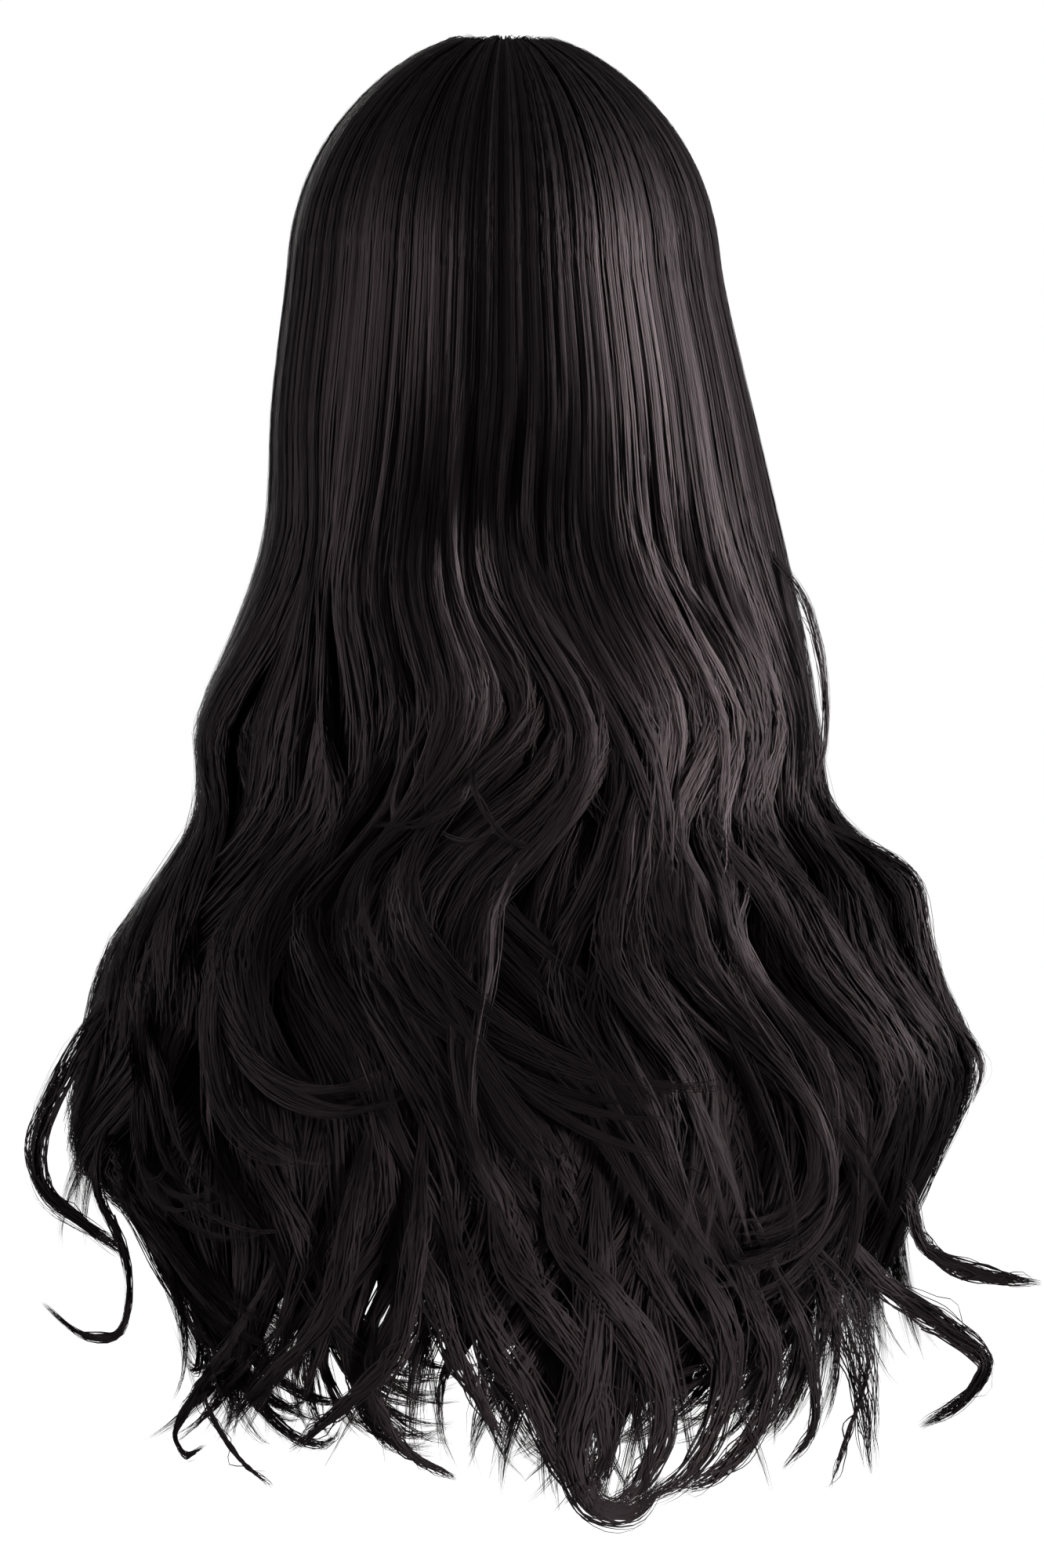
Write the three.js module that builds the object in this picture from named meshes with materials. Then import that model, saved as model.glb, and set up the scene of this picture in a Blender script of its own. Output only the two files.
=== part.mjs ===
// A long, layered, wavy synthetic wig: a stretch cap that fits over the head, a narrow parting
// strip along the top of it, and five panels of hair that hang from the cap in locks.
// Millimetres. +Z is up, +Y is the way the wearer faces and +X is the wearer's right.
// The origin is the point where the top of the head meets the inside of the cap.
// A bearing is an angle round the head: 0 at the back, positive to the wearer's right, 180 in front.
import * as THREE from "three";

// Driving dimensions: the head inside the cap, and the hair that covers the cap
const HEAD = { halfWidth: 77, halfLength: 95, height: 92 };
const CAP_WALL = 1.5;
const HAIR_OVER_HEAD = { halfWidth: 96, halfLength: 114, height: 106 };
const SEAT_GAP = 0.5;

// Height of the cap's edge, from the nape round to the forehead
const CAP_EDGE = [
  { bearing: 0, z: -165 },
  { bearing: 45, z: -150 },
  { bearing: 75, z: -114 },
  { bearing: 95, z: -108 },
  { bearing: 112, z: -118 },
  { bearing: 130, z: -84 },
  { bearing: 155, z: -60 },
  { bearing: 180, z: -52 },
];
const CAP_MERIDIANS = 40;
const CAP_RINGS = 9;

// The parting: angles from the vertical, towards the face, of its two ends
const PARTING = { rearAngle: -8, frontAngle: 66, halfGap: 2.5, stripHalfWidth: 4.5 };
const STRIP = { lift: 0.5, thickness: 0.7, stations: 18 };

// Outer surface of the hair below the widest level of the head: half-widths to each side of
// the middle, reach to the back and the front, and the thickness of the whole mass of hair
const OUTLINE = [
  { z: -92, left: 96, right: 96, back: 114, front: 114, thickness: 17, squareness: 2.0 },
  { z: -150, left: 103, right: 110, back: 111, front: 106, thickness: 22, squareness: 2.05 },
  { z: -205, left: 106, right: 123, back: 107, front: 98, thickness: 27, squareness: 2.15 },
  { z: -246, left: 120, right: 132, back: 108, front: 94, thickness: 30, squareness: 2.25 },
  { z: -290, left: 138, right: 140, back: 114, front: 92, thickness: 32, squareness: 2.3 },
  { z: -328, left: 136, right: 147, back: 119, front: 94, thickness: 33, squareness: 2.35 },
  { z: -360, left: 156, right: 182, back: 124, front: 97, thickness: 34, squareness: 2.4 },
  { z: -390, left: 177, right: 189, back: 127, front: 100, thickness: 35, squareness: 2.4 },
  { z: -438, left: 190, right: 209, back: 131, front: 102, thickness: 36, squareness: 2.4 },
  { z: -479, left: 206, right: 193, back: 133, front: 101, thickness: 36, squareness: 2.4 },
  { z: -510, left: 187, right: 180, back: 133, front: 99, thickness: 34, squareness: 2.4 },
  { z: -550, left: 168, right: 184, back: 131, front: 96, thickness: 31, squareness: 2.4 },
  { z: -600, left: 150, right: 172, back: 127, front: 92, thickness: 26, squareness: 2.4 },
  { z: -640, left: 140, right: 160, back: 124, front: 90, thickness: 22, squareness: 2.4 },
];

// The set-in wave: sideways and in-and-out swing of the hair at each height
const WAVE = { length: 182, crest: -300, spread: 1.1, spreadRate: 2.3 };
const WAVE_SIZE = [
  { z: -92, sideways: 0, outward: 0 },
  { z: -150, sideways: 1, outward: 0.5 },
  { z: -230, sideways: 8, outward: 2.5 },
  { z: -320, sideways: 14, outward: 5 },
  { z: -640, sideways: 15, outward: 5 },
];

const COLOURS = { hair: 0x1a1718, cap: 0x17151a, parting: 0xb59a86 };

const radians = THREE.MathUtils.degToRad;

// Reads a column of a table at a key between its rows, on a smooth curve through them.
function tableAt(rows, keyName, key, column) {
  const sign = rows[0][keyName] < rows[1][keyName] ? 1 : -1;
  const keys = rows.map((row) => row[keyName] * sign);
  const at = THREE.MathUtils.clamp(key * sign, keys[0], keys[keys.length - 1]);
  let i = 0;
  while (i < rows.length - 2 && keys[i + 1] < at) i += 1;
  const slope = (k) => {
    const before = Math.max(k - 1, 0);
    const after = Math.min(k + 1, rows.length - 1);
    return (rows[after][column] - rows[before][column]) / (keys[after] - keys[before]);
  };
  const span = keys[i + 1] - keys[i];
  const t = (at - keys[i]) / span;
  const [from, to] = [rows[i][column], rows[i + 1][column]];
  const rise = t * t * (3 - 2 * t);
  const leave = t * (1 - t) * (1 - t) * span * slope(i);
  const arrive = t * t * (t - 1) * span * slope(i + 1);
  return from + (to - from) * rise + leave + arrive;
}

const smoothStep = (x, low, high) => THREE.MathUtils.smoothstep(x, low, high);

// A closed BufferGeometry from points and triangles of point numbers.
function solidGeometry(points, triangles) {
  const geometry = new THREE.BufferGeometry();
  geometry.setFromPoints(points);
  geometry.setIndex(triangles);
  geometry.computeVertexNormals();
  return geometry;
}

function pushQuad(triangles, a, b, c, d) {
  triangles.push(a, b, c, a, c, d);
}

// The cap: an ellipsoid wall from the top of the head down to the cap's edge

function capPoint(bearing, polar, offset) {
  return new THREE.Vector3(
    (HEAD.halfWidth + offset) * Math.sin(polar) * Math.sin(bearing),
    -(HEAD.halfLength + offset) * Math.sin(polar) * Math.cos(bearing),
    -HEAD.height + (HEAD.height + offset) * Math.cos(polar),
  );
}

function capGeometry() {
  const points = [];
  const triangles = [];
  const skins = [CAP_WALL, 0].map((offset) => {
    const pole = points.push(capPoint(0, 0, offset)) - 1;
    const rings = [];
    for (let ring = 1; ring <= CAP_RINGS; ring += 1) {
      rings.push([]);
      for (let i = 0; i < CAP_MERIDIANS; i += 1) {
        const degrees = (360 * i) / CAP_MERIDIANS;
        const edge = tableAt(CAP_EDGE, "bearing", Math.min(degrees, 360 - degrees), "z");
        const polar = (Math.acos((edge + HEAD.height) / HEAD.height) * ring) / CAP_RINGS;
        rings[ring - 1].push(points.push(capPoint(radians(degrees), polar, offset)) - 1);
      }
    }
    return { pole, rings };
  });
  const [outer, inner] = skins;
  const edgeRing = CAP_RINGS - 1;
  for (let i = 0; i < CAP_MERIDIANS; i += 1) {
    const next = (i + 1) % CAP_MERIDIANS;
    triangles.push(outer.pole, outer.rings[0][i], outer.rings[0][next]);
    triangles.push(inner.pole, inner.rings[0][next], inner.rings[0][i]);
    for (let ring = 0; ring < edgeRing; ring += 1) {
      const [above, below] = [outer.rings[ring], outer.rings[ring + 1]];
      pushQuad(triangles, above[i], below[i], below[next], above[next]);
      const [insideAbove, insideBelow] = [inner.rings[ring], inner.rings[ring + 1]];
      pushQuad(triangles, insideAbove[i], insideAbove[next], insideBelow[next], insideBelow[i]);
    }
    const [rimOut, rimIn] = [outer.rings[edgeRing], inner.rings[edgeRing]];
    pushQuad(triangles, rimOut[next], rimOut[i], rimIn[i], rimIn[next]);
  }
  return solidGeometry(points, triangles);
}

// The parting strip: a thin band on the cap, along the middle of the head

function stripGeometry() {
  const points = [];
  const triangles = [];
  const rowOf = (station) => {
    const share = station / (STRIP.stations - 1);
    const angle = radians(THREE.MathUtils.lerp(PARTING.rearAngle, PARTING.frontAngle, share));
    const bottom = CAP_WALL + STRIP.lift;
    return [
      [-1, bottom + STRIP.thickness],
      [1, bottom + STRIP.thickness],
      [1, bottom],
      [-1, bottom],
    ].map(([side, offset]) => {
      const x = side * PARTING.stripHalfWidth;
      const sag = Math.sqrt(1 - (x / (HEAD.halfWidth + offset)) ** 2);
      const y = (HEAD.halfLength + offset) * Math.sin(angle) * sag;
      const z = -HEAD.height + (HEAD.height + offset) * Math.cos(angle) * sag;
      return points.push(new THREE.Vector3(x, y, z)) - 1;
    });
  };
  const rows = Array.from({ length: STRIP.stations }, (_, station) => rowOf(station));
  for (let i = 0; i + 1 < rows.length; i += 1) {
    for (let k = 0; k < 4; k += 1) {
      const next = (k + 1) % 4;
      pushQuad(triangles, rows[i][k], rows[i][next], rows[i + 1][next], rows[i + 1][k]);
    }
  }
  pushQuad(triangles, ...[3, 2, 1, 0].map((k) => rows[0][k]));
  pushQuad(triangles, ...rows[rows.length - 1]);
  return solidGeometry(points, triangles);
}

// The flow of the hair. A station down a hair is a share of its way over the head, from 0 at the
// root to 1 at the head's widest level, and then 1 plus the millimetres that it has fallen since.

const fallOf = (z) => 1 - HEAD.height - z;
const heightOf = (station) => 1 - HEAD.height - station;

// Direction in which a hair of this bearing leaves its root: the crown for the back and sides,
// and a place along the parting for the front.
function rootDirection(bearing) {
  const front = smoothStep(Math.abs(bearing), radians(FRONT.from), radians(FRONT.to));
  const along = (Math.abs(bearing) - radians(FRONT.from)) / radians(FRONT.to - FRONT.from);
  const share = THREE.MathUtils.clamp(along, 0, 1);
  const angle = radians(THREE.MathUtils.lerp(PARTING.rearAngle, PARTING.frontAngle, share));
  const aside = front > 0 ? (Math.sign(bearing) * PARTING.halfGap) / HAIR_OVER_HEAD.height : 0;
  return new THREE.Vector3(aside, Math.sin(angle), Math.cos(angle)).normalize();
}

function slerp(from, to, t) {
  const angle = from.angleTo(to);
  if (angle < 1e-6) return from.clone();
  const a = Math.sin((1 - t) * angle) / Math.sin(angle);
  const b = Math.sin(t * angle) / Math.sin(angle);
  return from.clone().multiplyScalar(a).addScaledVector(to, b);
}

// Direction from the middle of the head to a hair on its way over the head.
function headDirection(bearing, share) {
  const around = new THREE.Vector3(Math.sin(bearing), -Math.cos(bearing), 0);
  const toFront = smoothStep(Math.abs(bearing), radians(FRONT.from), radians(FRONT.to));
  const bend = radians(THREE.MathUtils.lerp(48, 72, toFront));
  const shoulder = around.clone().multiplyScalar(Math.sin(bend)).setZ(Math.cos(bend));
  const root = rootDirection(bearing);
  return slerp(slerp(root, shoulder, share), slerp(shoulder, around, share), share);
}

const signedPower = (x, power) => Math.sign(x) * Math.abs(x) ** power;

// A point of the hair. Depth runs from 0 at the outer surface to 1 against the cap.
function hairPoint(bearing, station, depth) {
  if (station <= 1) {
    const way = headDirection(bearing, station);
    const inset = OUTLINE[0].thickness * depth;
    const roof = HAIR_OVER_HEAD.height - HEAD.height - CAP_WALL - SEAT_GAP;
    return new THREE.Vector3(
      way.x * (HAIR_OVER_HEAD.halfWidth - inset),
      way.y * (HAIR_OVER_HEAD.halfLength - inset),
      -HEAD.height + way.z * (HAIR_OVER_HEAD.height - roof * depth),
    );
  }
  const z = heightOf(station);
  const column = (name) => tableAt(OUTLINE, "z", z, name);
  const inset = column("thickness") * depth - outwardWave(bearing, z);
  const power = 2 / column("squareness");
  const across = signedPower(Math.sin(bearing), power);
  const along = signedPower(-Math.cos(bearing), power);
  const halfWidth = column(bearing < 0 ? "left" : "right");
  const reach = column(along < 0 ? "back" : "front");
  return new THREE.Vector3(across * (halfWidth - inset), along * (reach - inset), z);
}

function wavePhase(bearing, z) {
  const spread = WAVE.spread * Math.sin(WAVE.spreadRate * bearing);
  return (2 * Math.PI * (WAVE.crest - z)) / WAVE.length + spread;
}

function outwardWave(bearing, z) {
  const size = tableAt(WAVE_SIZE, "z", z, "outward") * Math.abs(Math.cos(bearing));
  return size * Math.cos(wavePhase(bearing, z));
}

// The bearing of a hair after the wave has carried it sideways.
function wavedBearing(bearing, station) {
  if (station <= 1) return bearing;
  const z = heightOf(station);
  const size = tableAt(WAVE_SIZE, "z", z, "sideways");
  const halfWidth = tableAt(OUTLINE, "z", z, bearing < 0 ? "left" : "right");
  const reach = tableAt(OUTLINE, "z", z, "back");
  const radius = Math.hypot(halfWidth * Math.cos(bearing), reach * Math.sin(bearing));
  return bearing + (size * Math.sin(wavePhase(bearing, z))) / radius;
}

// The panels of hair, outermost first. Each table row is a lock, from the left to the right: the
// height where its tip starts to curl, and the turn of the tip sideways and outward in degrees.
const FRONT = { from: 102, to: 143 };

const LOCK_BEARING = 15.4;
const LOCK_STEP = 29;
const across = (count) => ({ from: (-count * LOCK_BEARING) / 2, to: (count * LOCK_BEARING) / 2 });

// Heights of the sections, at an even step below the widest level of the head
function fallRows(first, last) {
  const rows = [];
  for (let row = first; row <= last; row += 1) rows.push(-HEAD.height - row * LOCK_STEP);
  return rows;
}

const PANELS = [
  {
    name: "crown_hair",
    ...across(13),
    overHead: [0.05, 0.25, 0.45, 0.62, 0.81, 1],
    fall: fallRows(1, 7),
    depths: [
      { station: 0, outer: 0, inner: 0.86 },
      { station: 0.45, outer: 0, inner: 0.86 },
      { station: 0.62, outer: 0, inner: 0.44 },
      { station: 1, outer: 0, inner: 0.44 },
      { station: fallOf(-121), outer: 0, inner: 0.31 },
      { station: fallOf(-300), outer: 0, inner: 0.3 },
      { station: fallOf(-640), outer: 0, inner: 0.28 },
    ],
    tipLength: 72,
    locks: [
      { tip: -530, sideways: 0, outward: 150 },
      { tip: -525, sideways: -30, outward: 60 },
      { tip: -500, sideways: 40, outward: 20 },
      { tip: -478, sideways: 55, outward: 15 },
      { tip: -430, sideways: 60, outward: 15 },
      { tip: -322, sideways: 80, outward: 15 },
      { tip: -445, sideways: -45, outward: 10 },
      { tip: -500, sideways: 45, outward: 10 },
      { tip: -455, sideways: -60, outward: 15 },
      { tip: -492, sideways: 35, outward: 45 },
      { tip: -515, sideways: 35, outward: 45 },
      { tip: -505, sideways: 45, outward: 80 },
      { tip: -540, sideways: 0, outward: 120 },
    ],
  },
  {
    name: "back_hair",
    ...across(12),
    overHead: [0.62, 0.81, 1],
    fall: fallRows(1, 9),
    depths: [
      { station: 0.62, outer: 0.5, inner: 0.94 },
      { station: 1, outer: 0.49, inner: 0.94 },
      { station: fallOf(-121), outer: 0.35, inner: 0.64 },
      { station: fallOf(-300), outer: 0.36, inner: 0.63 },
      { station: fallOf(-640), outer: 0.36, inner: 0.61 },
    ],
    tipLength: 60,
    locks: [
      { tip: -535, sideways: -50, outward: 25 },
      { tip: -555, sideways: -30, outward: 30 },
      { tip: -568, sideways: 35, outward: 45 },
      { tip: -572, sideways: -50, outward: 5 },
      { tip: -565, sideways: 40, outward: 40 },
      { tip: -578, sideways: -40, outward: 5 },
      { tip: -586, sideways: 25, outward: 15 },
      { tip: -580, sideways: 35, outward: 45 },
      { tip: -566, sideways: -40, outward: 0 },
      { tip: -560, sideways: -35, outward: 20 },
      { tip: -562, sideways: 40, outward: 25 },
      { tip: -540, sideways: 40, outward: 25 },
    ],
  },
  {
    name: "nape_hair",
    ...across(9),
    overHead: [],
    fall: fallRows(1, 9),
    depths: [
      { station: fallOf(-121), outer: 0.68, inner: 0.86 },
      { station: fallOf(-179), outer: 0.68, inner: 0.97 },
      { station: fallOf(-300), outer: 0.69, inner: 0.97 },
      { station: fallOf(-640), outer: 0.7, inner: 0.97 },
    ],
    tipLength: 52,
    locks: [
      { tip: -570, sideways: 50, outward: -35 },
      { tip: -588, sideways: -55, outward: 5 },
      { tip: -578, sideways: 50, outward: 5 },
      { tip: -592, sideways: 60, outward: -35 },
      { tip: -588, sideways: -40, outward: 0 },
      { tip: -602, sideways: -50, outward: 5 },
      { tip: -584, sideways: -60, outward: -30 },
      { tip: -590, sideways: -55, outward: 5 },
      { tip: -572, sideways: 50, outward: 10 },
    ],
  },
  ...["left_front_hair", "right_front_hair"].map((name) => {
    const side = name.startsWith("left") ? -1 : 1;
    const locks = [
      { tip: -530, sideways: -35, outward: 30 },
      { tip: -515, sideways: -20, outward: 45 },
      { tip: -500, sideways: 30, outward: 25 },
      { tip: -470, sideways: 45, outward: 40 },
    ].map((lock) => ({ ...lock, sideways: side * lock.sideways }));
    return {
      name,
      from: side < 0 ? -FRONT.to : FRONT.from,
      to: side < 0 ? -FRONT.from : FRONT.to,
      overHead: [0, 0.2, 0.4, 0.6, 0.8, 1],
      fall: fallRows(1, 6),
      depths: [
        { station: 0, outer: 0, inner: 0.76 },
        { station: 0.4, outer: 0, inner: 0.86 },
        { station: 1, outer: 0, inner: 0.86 },
        { station: fallOf(-150), outer: 0, inner: 0.8 },
        { station: fallOf(-640), outer: 0, inner: 0.6 },
      ],
      tipLength: 60,
      locks: side < 0 ? locks.reverse() : locks,
    };
  }),
];

// Shape of a lock: how far the valleys between locks sink into the hair's thickness, and how the
// lock thins towards its tip
const VALLEY = { overHead: 0.12, atTips: 0.55 };
const TIP_STEPS = 5;
const TIP_SHARE = 0.5;
const TAPER_POWER = 2.6;
const PARTED = 0.92;
const TIP_END = { width: 0.1, thickness: 0.3 };

// The corners of a lock's section at a station: outer left, crest, outer right, and then the
// three inner ones from right to left. Narrow is the share of its full width that is left.
function lockSection(panel, span, station, narrow) {
  const key = (name) => tableAt(panel.depths, "station", station, name);
  const [outer, inner] = [key("outer"), key("inner")];
  const toTips = smoothStep(station, 1, fallOf(-400));
  const sink = THREE.MathUtils.lerp(VALLEY.overHead, VALLEY.atTips, toTips);
  const valley = THREE.MathUtils.lerp(outer, inner, sink);
  const at = (side, depth) => {
    const bearing = radians(span.middle + side * narrow * span.half);
    return hairPoint(wavedBearing(bearing, station), station, depth);
  };
  const crest = [at(-1, valley), at(0, outer), at(1, valley)];
  return [...crest, at(1, inner), at(0, inner), at(-1, inner)];
}

// The sections of a lock's curling tip, which turns a little more at each step.
function tipSections(panel, lock, last, before) {
  const middle = (section) => section[1].clone().lerp(section[4], 0.5);
  const centre = middle(last);
  const forward = centre.clone().sub(middle(before)).normalize();
  const acrossLock = last[2].clone().sub(last[0]).normalize();
  const outward = forward.clone().cross(acrossLock).normalize();
  const stepLength = panel.tipLength / TIP_STEPS;
  const offsets = last.map((corner) => corner.clone().sub(centre));
  const turn = new THREE.Quaternion();
  const turnStep = new THREE.Quaternion()
    .setFromAxisAngle(outward, radians(lock.sideways / TIP_STEPS))
    .multiply(
      new THREE.Quaternion().setFromAxisAngle(acrossLock, radians(-lock.outward / TIP_STEPS)),
    );
  const sections = [];
  for (let step = 1; step <= TIP_STEPS; step += 1) {
    turn.premultiply(turnStep);
    centre.addScaledVector(forward.clone().applyQuaternion(turn), stepLength);
    const share = step / TIP_STEPS;
    const width = THREE.MathUtils.lerp(1, TIP_END.width / TIP_SHARE, share);
    const thickness = THREE.MathUtils.lerp(1, TIP_END.thickness, share);
    sections.push(
      offsets.map((offset) => {
        const sideways = acrossLock.clone().multiplyScalar(offset.dot(acrossLock));
        const rest = offset.clone().sub(sideways);
        const scaled = sideways.multiplyScalar(width).addScaledVector(rest, thickness);
        return scaled.applyQuaternion(turn).add(centre);
      }),
    );
  }
  return sections;
}

// The free sections of a lock below the place where it parts from its neighbours.
function freeSections(panel, lock, span, splitStation) {
  const end = fallOf(lock.tip);
  const stations = [];
  for (let at = splitStation + LOCK_STEP; at < end - LOCK_STEP / 2; at += LOCK_STEP) {
    stations.push(at);
  }
  const sections = [splitStation, ...stations, end].map((station) => {
    const share = (station - splitStation) / (end - splitStation);
    const narrow = THREE.MathUtils.lerp(PARTED, TIP_SHARE, share ** TAPER_POWER);
    return lockSection(panel, span, station, narrow);
  });
  const tip = tipSections(panel, lock, sections.at(-1), sections.at(-2));
  return [...sections.slice(1), ...tip];
}

// A panel of hair: one wall with a ridge for each lock, whose lower ends hang free of each other.
function panelGeometry(panel) {
  const points = [];
  const triangles = [];
  const put = (point) => points.push(point) - 1;
  const half = (panel.to - panel.from) / panel.locks.length / 2;
  const spans = panel.locks.map((_, i) => ({ middle: panel.from + half * (2 * i + 1), half }));
  const stations = [...panel.overHead, ...panel.fall.map(fallOf)];

  // Neighbouring locks share the two valley corners of each section of the wall.
  const wall = stations.map((station) => {
    const shared = [];
    spans.forEach((span, i) => {
      const section = lockSection(panel, span, station, 1);
      const left = i ? shared[i - 1][2] : put(section[0]);
      const innerLeft = i ? shared[i - 1][3] : put(section[5]);
      shared.push([left, ...section.slice(1, 5).map(put), innerLeft]);
    });
    return shared;
  });

  const skin = (upper, lower, openLeft, openRight) => {
    pushQuad(triangles, upper[0], lower[0], lower[1], upper[1]);
    pushQuad(triangles, upper[1], lower[1], lower[2], upper[2]);
    pushQuad(triangles, upper[4], upper[3], lower[3], lower[4]);
    pushQuad(triangles, upper[5], upper[4], lower[4], lower[5]);
    if (openLeft) pushQuad(triangles, lower[0], upper[0], upper[5], lower[5]);
    if (openRight) pushQuad(triangles, upper[2], lower[2], lower[3], upper[3]);
  };

  panel.locks.forEach((lock, i) => {
    const [first, last] = [i === 0, i === panel.locks.length - 1];
    const root = wall[0][i];
    pushQuad(triangles, root[0], root[1], root[4], root[5]);
    pushQuad(triangles, root[1], root[2], root[3], root[4]);
    for (let row = 0; row + 1 < wall.length; row += 1) {
      skin(wall[row][i], wall[row + 1][i], first, last);
    }
    let upper = wall.at(-1)[i];
    freeSections(panel, lock, spans[i], stations.at(-1)).forEach((section) => {
      const lower = section.map(put);
      skin(upper, lower, true, true);
      upper = lower;
    });
    pushQuad(triangles, upper[1], upper[0], upper[5], upper[4]);
    pushQuad(triangles, upper[2], upper[1], upper[4], upper[3]);
  });
  return solidGeometry(points, triangles);
}

// Assembly

function part(name, geometry, colour, roughness) {
  const material = new THREE.MeshStandardMaterial({ color: colour, roughness, metalness: 0 });
  const mesh = new THREE.Mesh(geometry, material);
  mesh.name = name;
  return mesh;
}

const wig = new THREE.Group();
wig.add(part("wig_cap", capGeometry(), COLOURS.cap, 0.9));
wig.add(part("parting_strip", stripGeometry(), COLOURS.parting, 0.7));
PANELS.forEach((panel) => {
  wig.add(part(panel.name, panelGeometry(panel), COLOURS.hair, 0.4));
});

export default wig;
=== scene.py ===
"""Dresses the packed wig: strands of hair over each CAD panel, the net cap, the parting, stage and light.

The strands follow the same flow as the CAD panels: over the head from the crown or the parting, and
then down through the outline, the wave and the lock tables below. Those are in millimetres, in the
CAD frame: +Z up, +Y the way the wearer faces, +X to the wearer's right. Blender gets metres.
A bearing is an angle round the head: 0 at the back, positive to the wearer's right, 180 in front.
Pairs such as between and below are the two ends of a smooth step, and a pair of sizes is for the upper
and the lower hair.
"""

import math
from types import SimpleNamespace as Sizes

import bpy
import numpy as np
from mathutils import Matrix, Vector


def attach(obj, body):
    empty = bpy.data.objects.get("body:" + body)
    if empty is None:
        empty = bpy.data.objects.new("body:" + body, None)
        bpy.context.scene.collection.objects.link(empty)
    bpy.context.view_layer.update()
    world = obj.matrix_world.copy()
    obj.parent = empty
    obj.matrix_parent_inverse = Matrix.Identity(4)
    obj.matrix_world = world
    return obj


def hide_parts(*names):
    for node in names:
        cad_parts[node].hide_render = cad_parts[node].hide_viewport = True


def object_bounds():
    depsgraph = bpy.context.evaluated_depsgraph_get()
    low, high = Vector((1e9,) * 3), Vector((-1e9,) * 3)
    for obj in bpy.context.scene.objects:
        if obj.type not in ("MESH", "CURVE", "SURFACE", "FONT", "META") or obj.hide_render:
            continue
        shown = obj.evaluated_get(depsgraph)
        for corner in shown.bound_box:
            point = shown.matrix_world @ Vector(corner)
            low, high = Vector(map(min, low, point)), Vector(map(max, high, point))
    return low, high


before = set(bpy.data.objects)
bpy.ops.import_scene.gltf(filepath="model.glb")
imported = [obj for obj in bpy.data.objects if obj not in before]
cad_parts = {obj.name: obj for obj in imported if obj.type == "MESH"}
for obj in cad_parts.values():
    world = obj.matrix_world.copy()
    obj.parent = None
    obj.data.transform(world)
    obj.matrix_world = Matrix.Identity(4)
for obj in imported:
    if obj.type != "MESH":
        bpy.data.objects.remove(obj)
cad_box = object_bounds()
rng = np.random.default_rng(20)
MM = 0.001
FULL_TURN = 2 * math.pi


def curve_between(a, b, leaving, arriving, span, t):
    """A smooth curve from a to b over a span, with a slope at each end, at a share t of the span."""
    rise = t * t * (3 - 2 * t)
    leave = t * (1 - t) ** 2 * span * leaving
    arrive = t * t * (t - 1) * span * arriving
    return a + (b - a) * rise + leave + arrive


class Table:
    """Rows of named columns, read at any key on a smooth curve through the rows."""

    def __init__(self, columns, *rows):
        self.columns = columns.split()
        self.values = np.array(sorted(rows), float)

    def at(self, key, column):
        keys = self.values[:, 0]
        values = self.values[:, self.columns.index(column)]
        before = np.maximum(np.arange(len(keys)) - 1, 0)
        after = np.minimum(np.arange(len(keys)) + 1, len(keys) - 1)
        slopes = (values[after] - values[before]) / (keys[after] - keys[before])
        key = np.clip(key, keys[0], keys[-1])
        i = np.clip(np.searchsorted(keys, key) - 1, 0, len(keys) - 2)
        span = keys[i + 1] - keys[i]
        t = (key - keys[i]) / span
        return curve_between(values[i], values[i + 1], slopes[i], slopes[i + 1], span, t)


def named_rows(columns, **rows):
    """A table with a name for each row and each column."""
    return {name: Sizes(**dict(zip(columns.split(), row))) for name, row in rows.items()}


# The same driving sizes as the CAD source
HEAD_HEIGHT = 92
CAP_WALL = 1.5
SEAT_GAP = 0.5
OVER_HEAD = Sizes(half_width=96, half_length=114, height=106)
PARTING = Sizes(rear_angle=-8, front_angle=66, half_gap=2.5)
FRONT = Sizes(first=102, last=143, overlap=5)
SHOULDER_ANGLES = (48, 72)  # at the back and in front
LOCK_BEARING = 15.4

OUTLINE = Table(
    "z left right back front thickness squareness",
    (-92, 96, 96, 114, 114, 17, 2.0),
    (-150, 103, 110, 111, 106, 22, 2.05),
    (-205, 106, 123, 107, 98, 27, 2.15),
    (-246, 120, 132, 108, 94, 30, 2.25),
    (-290, 138, 140, 114, 92, 32, 2.3),
    (-328, 136, 147, 119, 94, 33, 2.35),
    (-360, 156, 182, 124, 97, 34, 2.4),
    (-390, 177, 189, 127, 100, 35, 2.4),
    (-438, 190, 209, 131, 102, 36, 2.4),
    (-479, 206, 193, 133, 101, 36, 2.4),
    (-510, 187, 180, 133, 99, 34, 2.4),
    (-550, 168, 184, 131, 96, 31, 2.4),
    (-600, 150, 172, 127, 92, 26, 2.4),
    (-640, 140, 160, 124, 90, 22, 2.4),
)
WAVE = Sizes(length=200, rise=-235, left_from=35, left_to=60)
WAVE_SIZE = Table(
    "z sideways outward",
    (-92, 0, 0),
    (-150, 1, 0.5),
    (-230, 9, 3),
    (-290, 20, 6),
    (-350, 19, 7.5),
    (-440, 16, 8),
    (-640, 16, 8),
)

# Where the strands leave the CAD flow. The low locks at the left are tucked in.
TUCK = Sizes(depth=36, turn=40, below=(435, 525), left_of=(58, 92))
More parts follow.
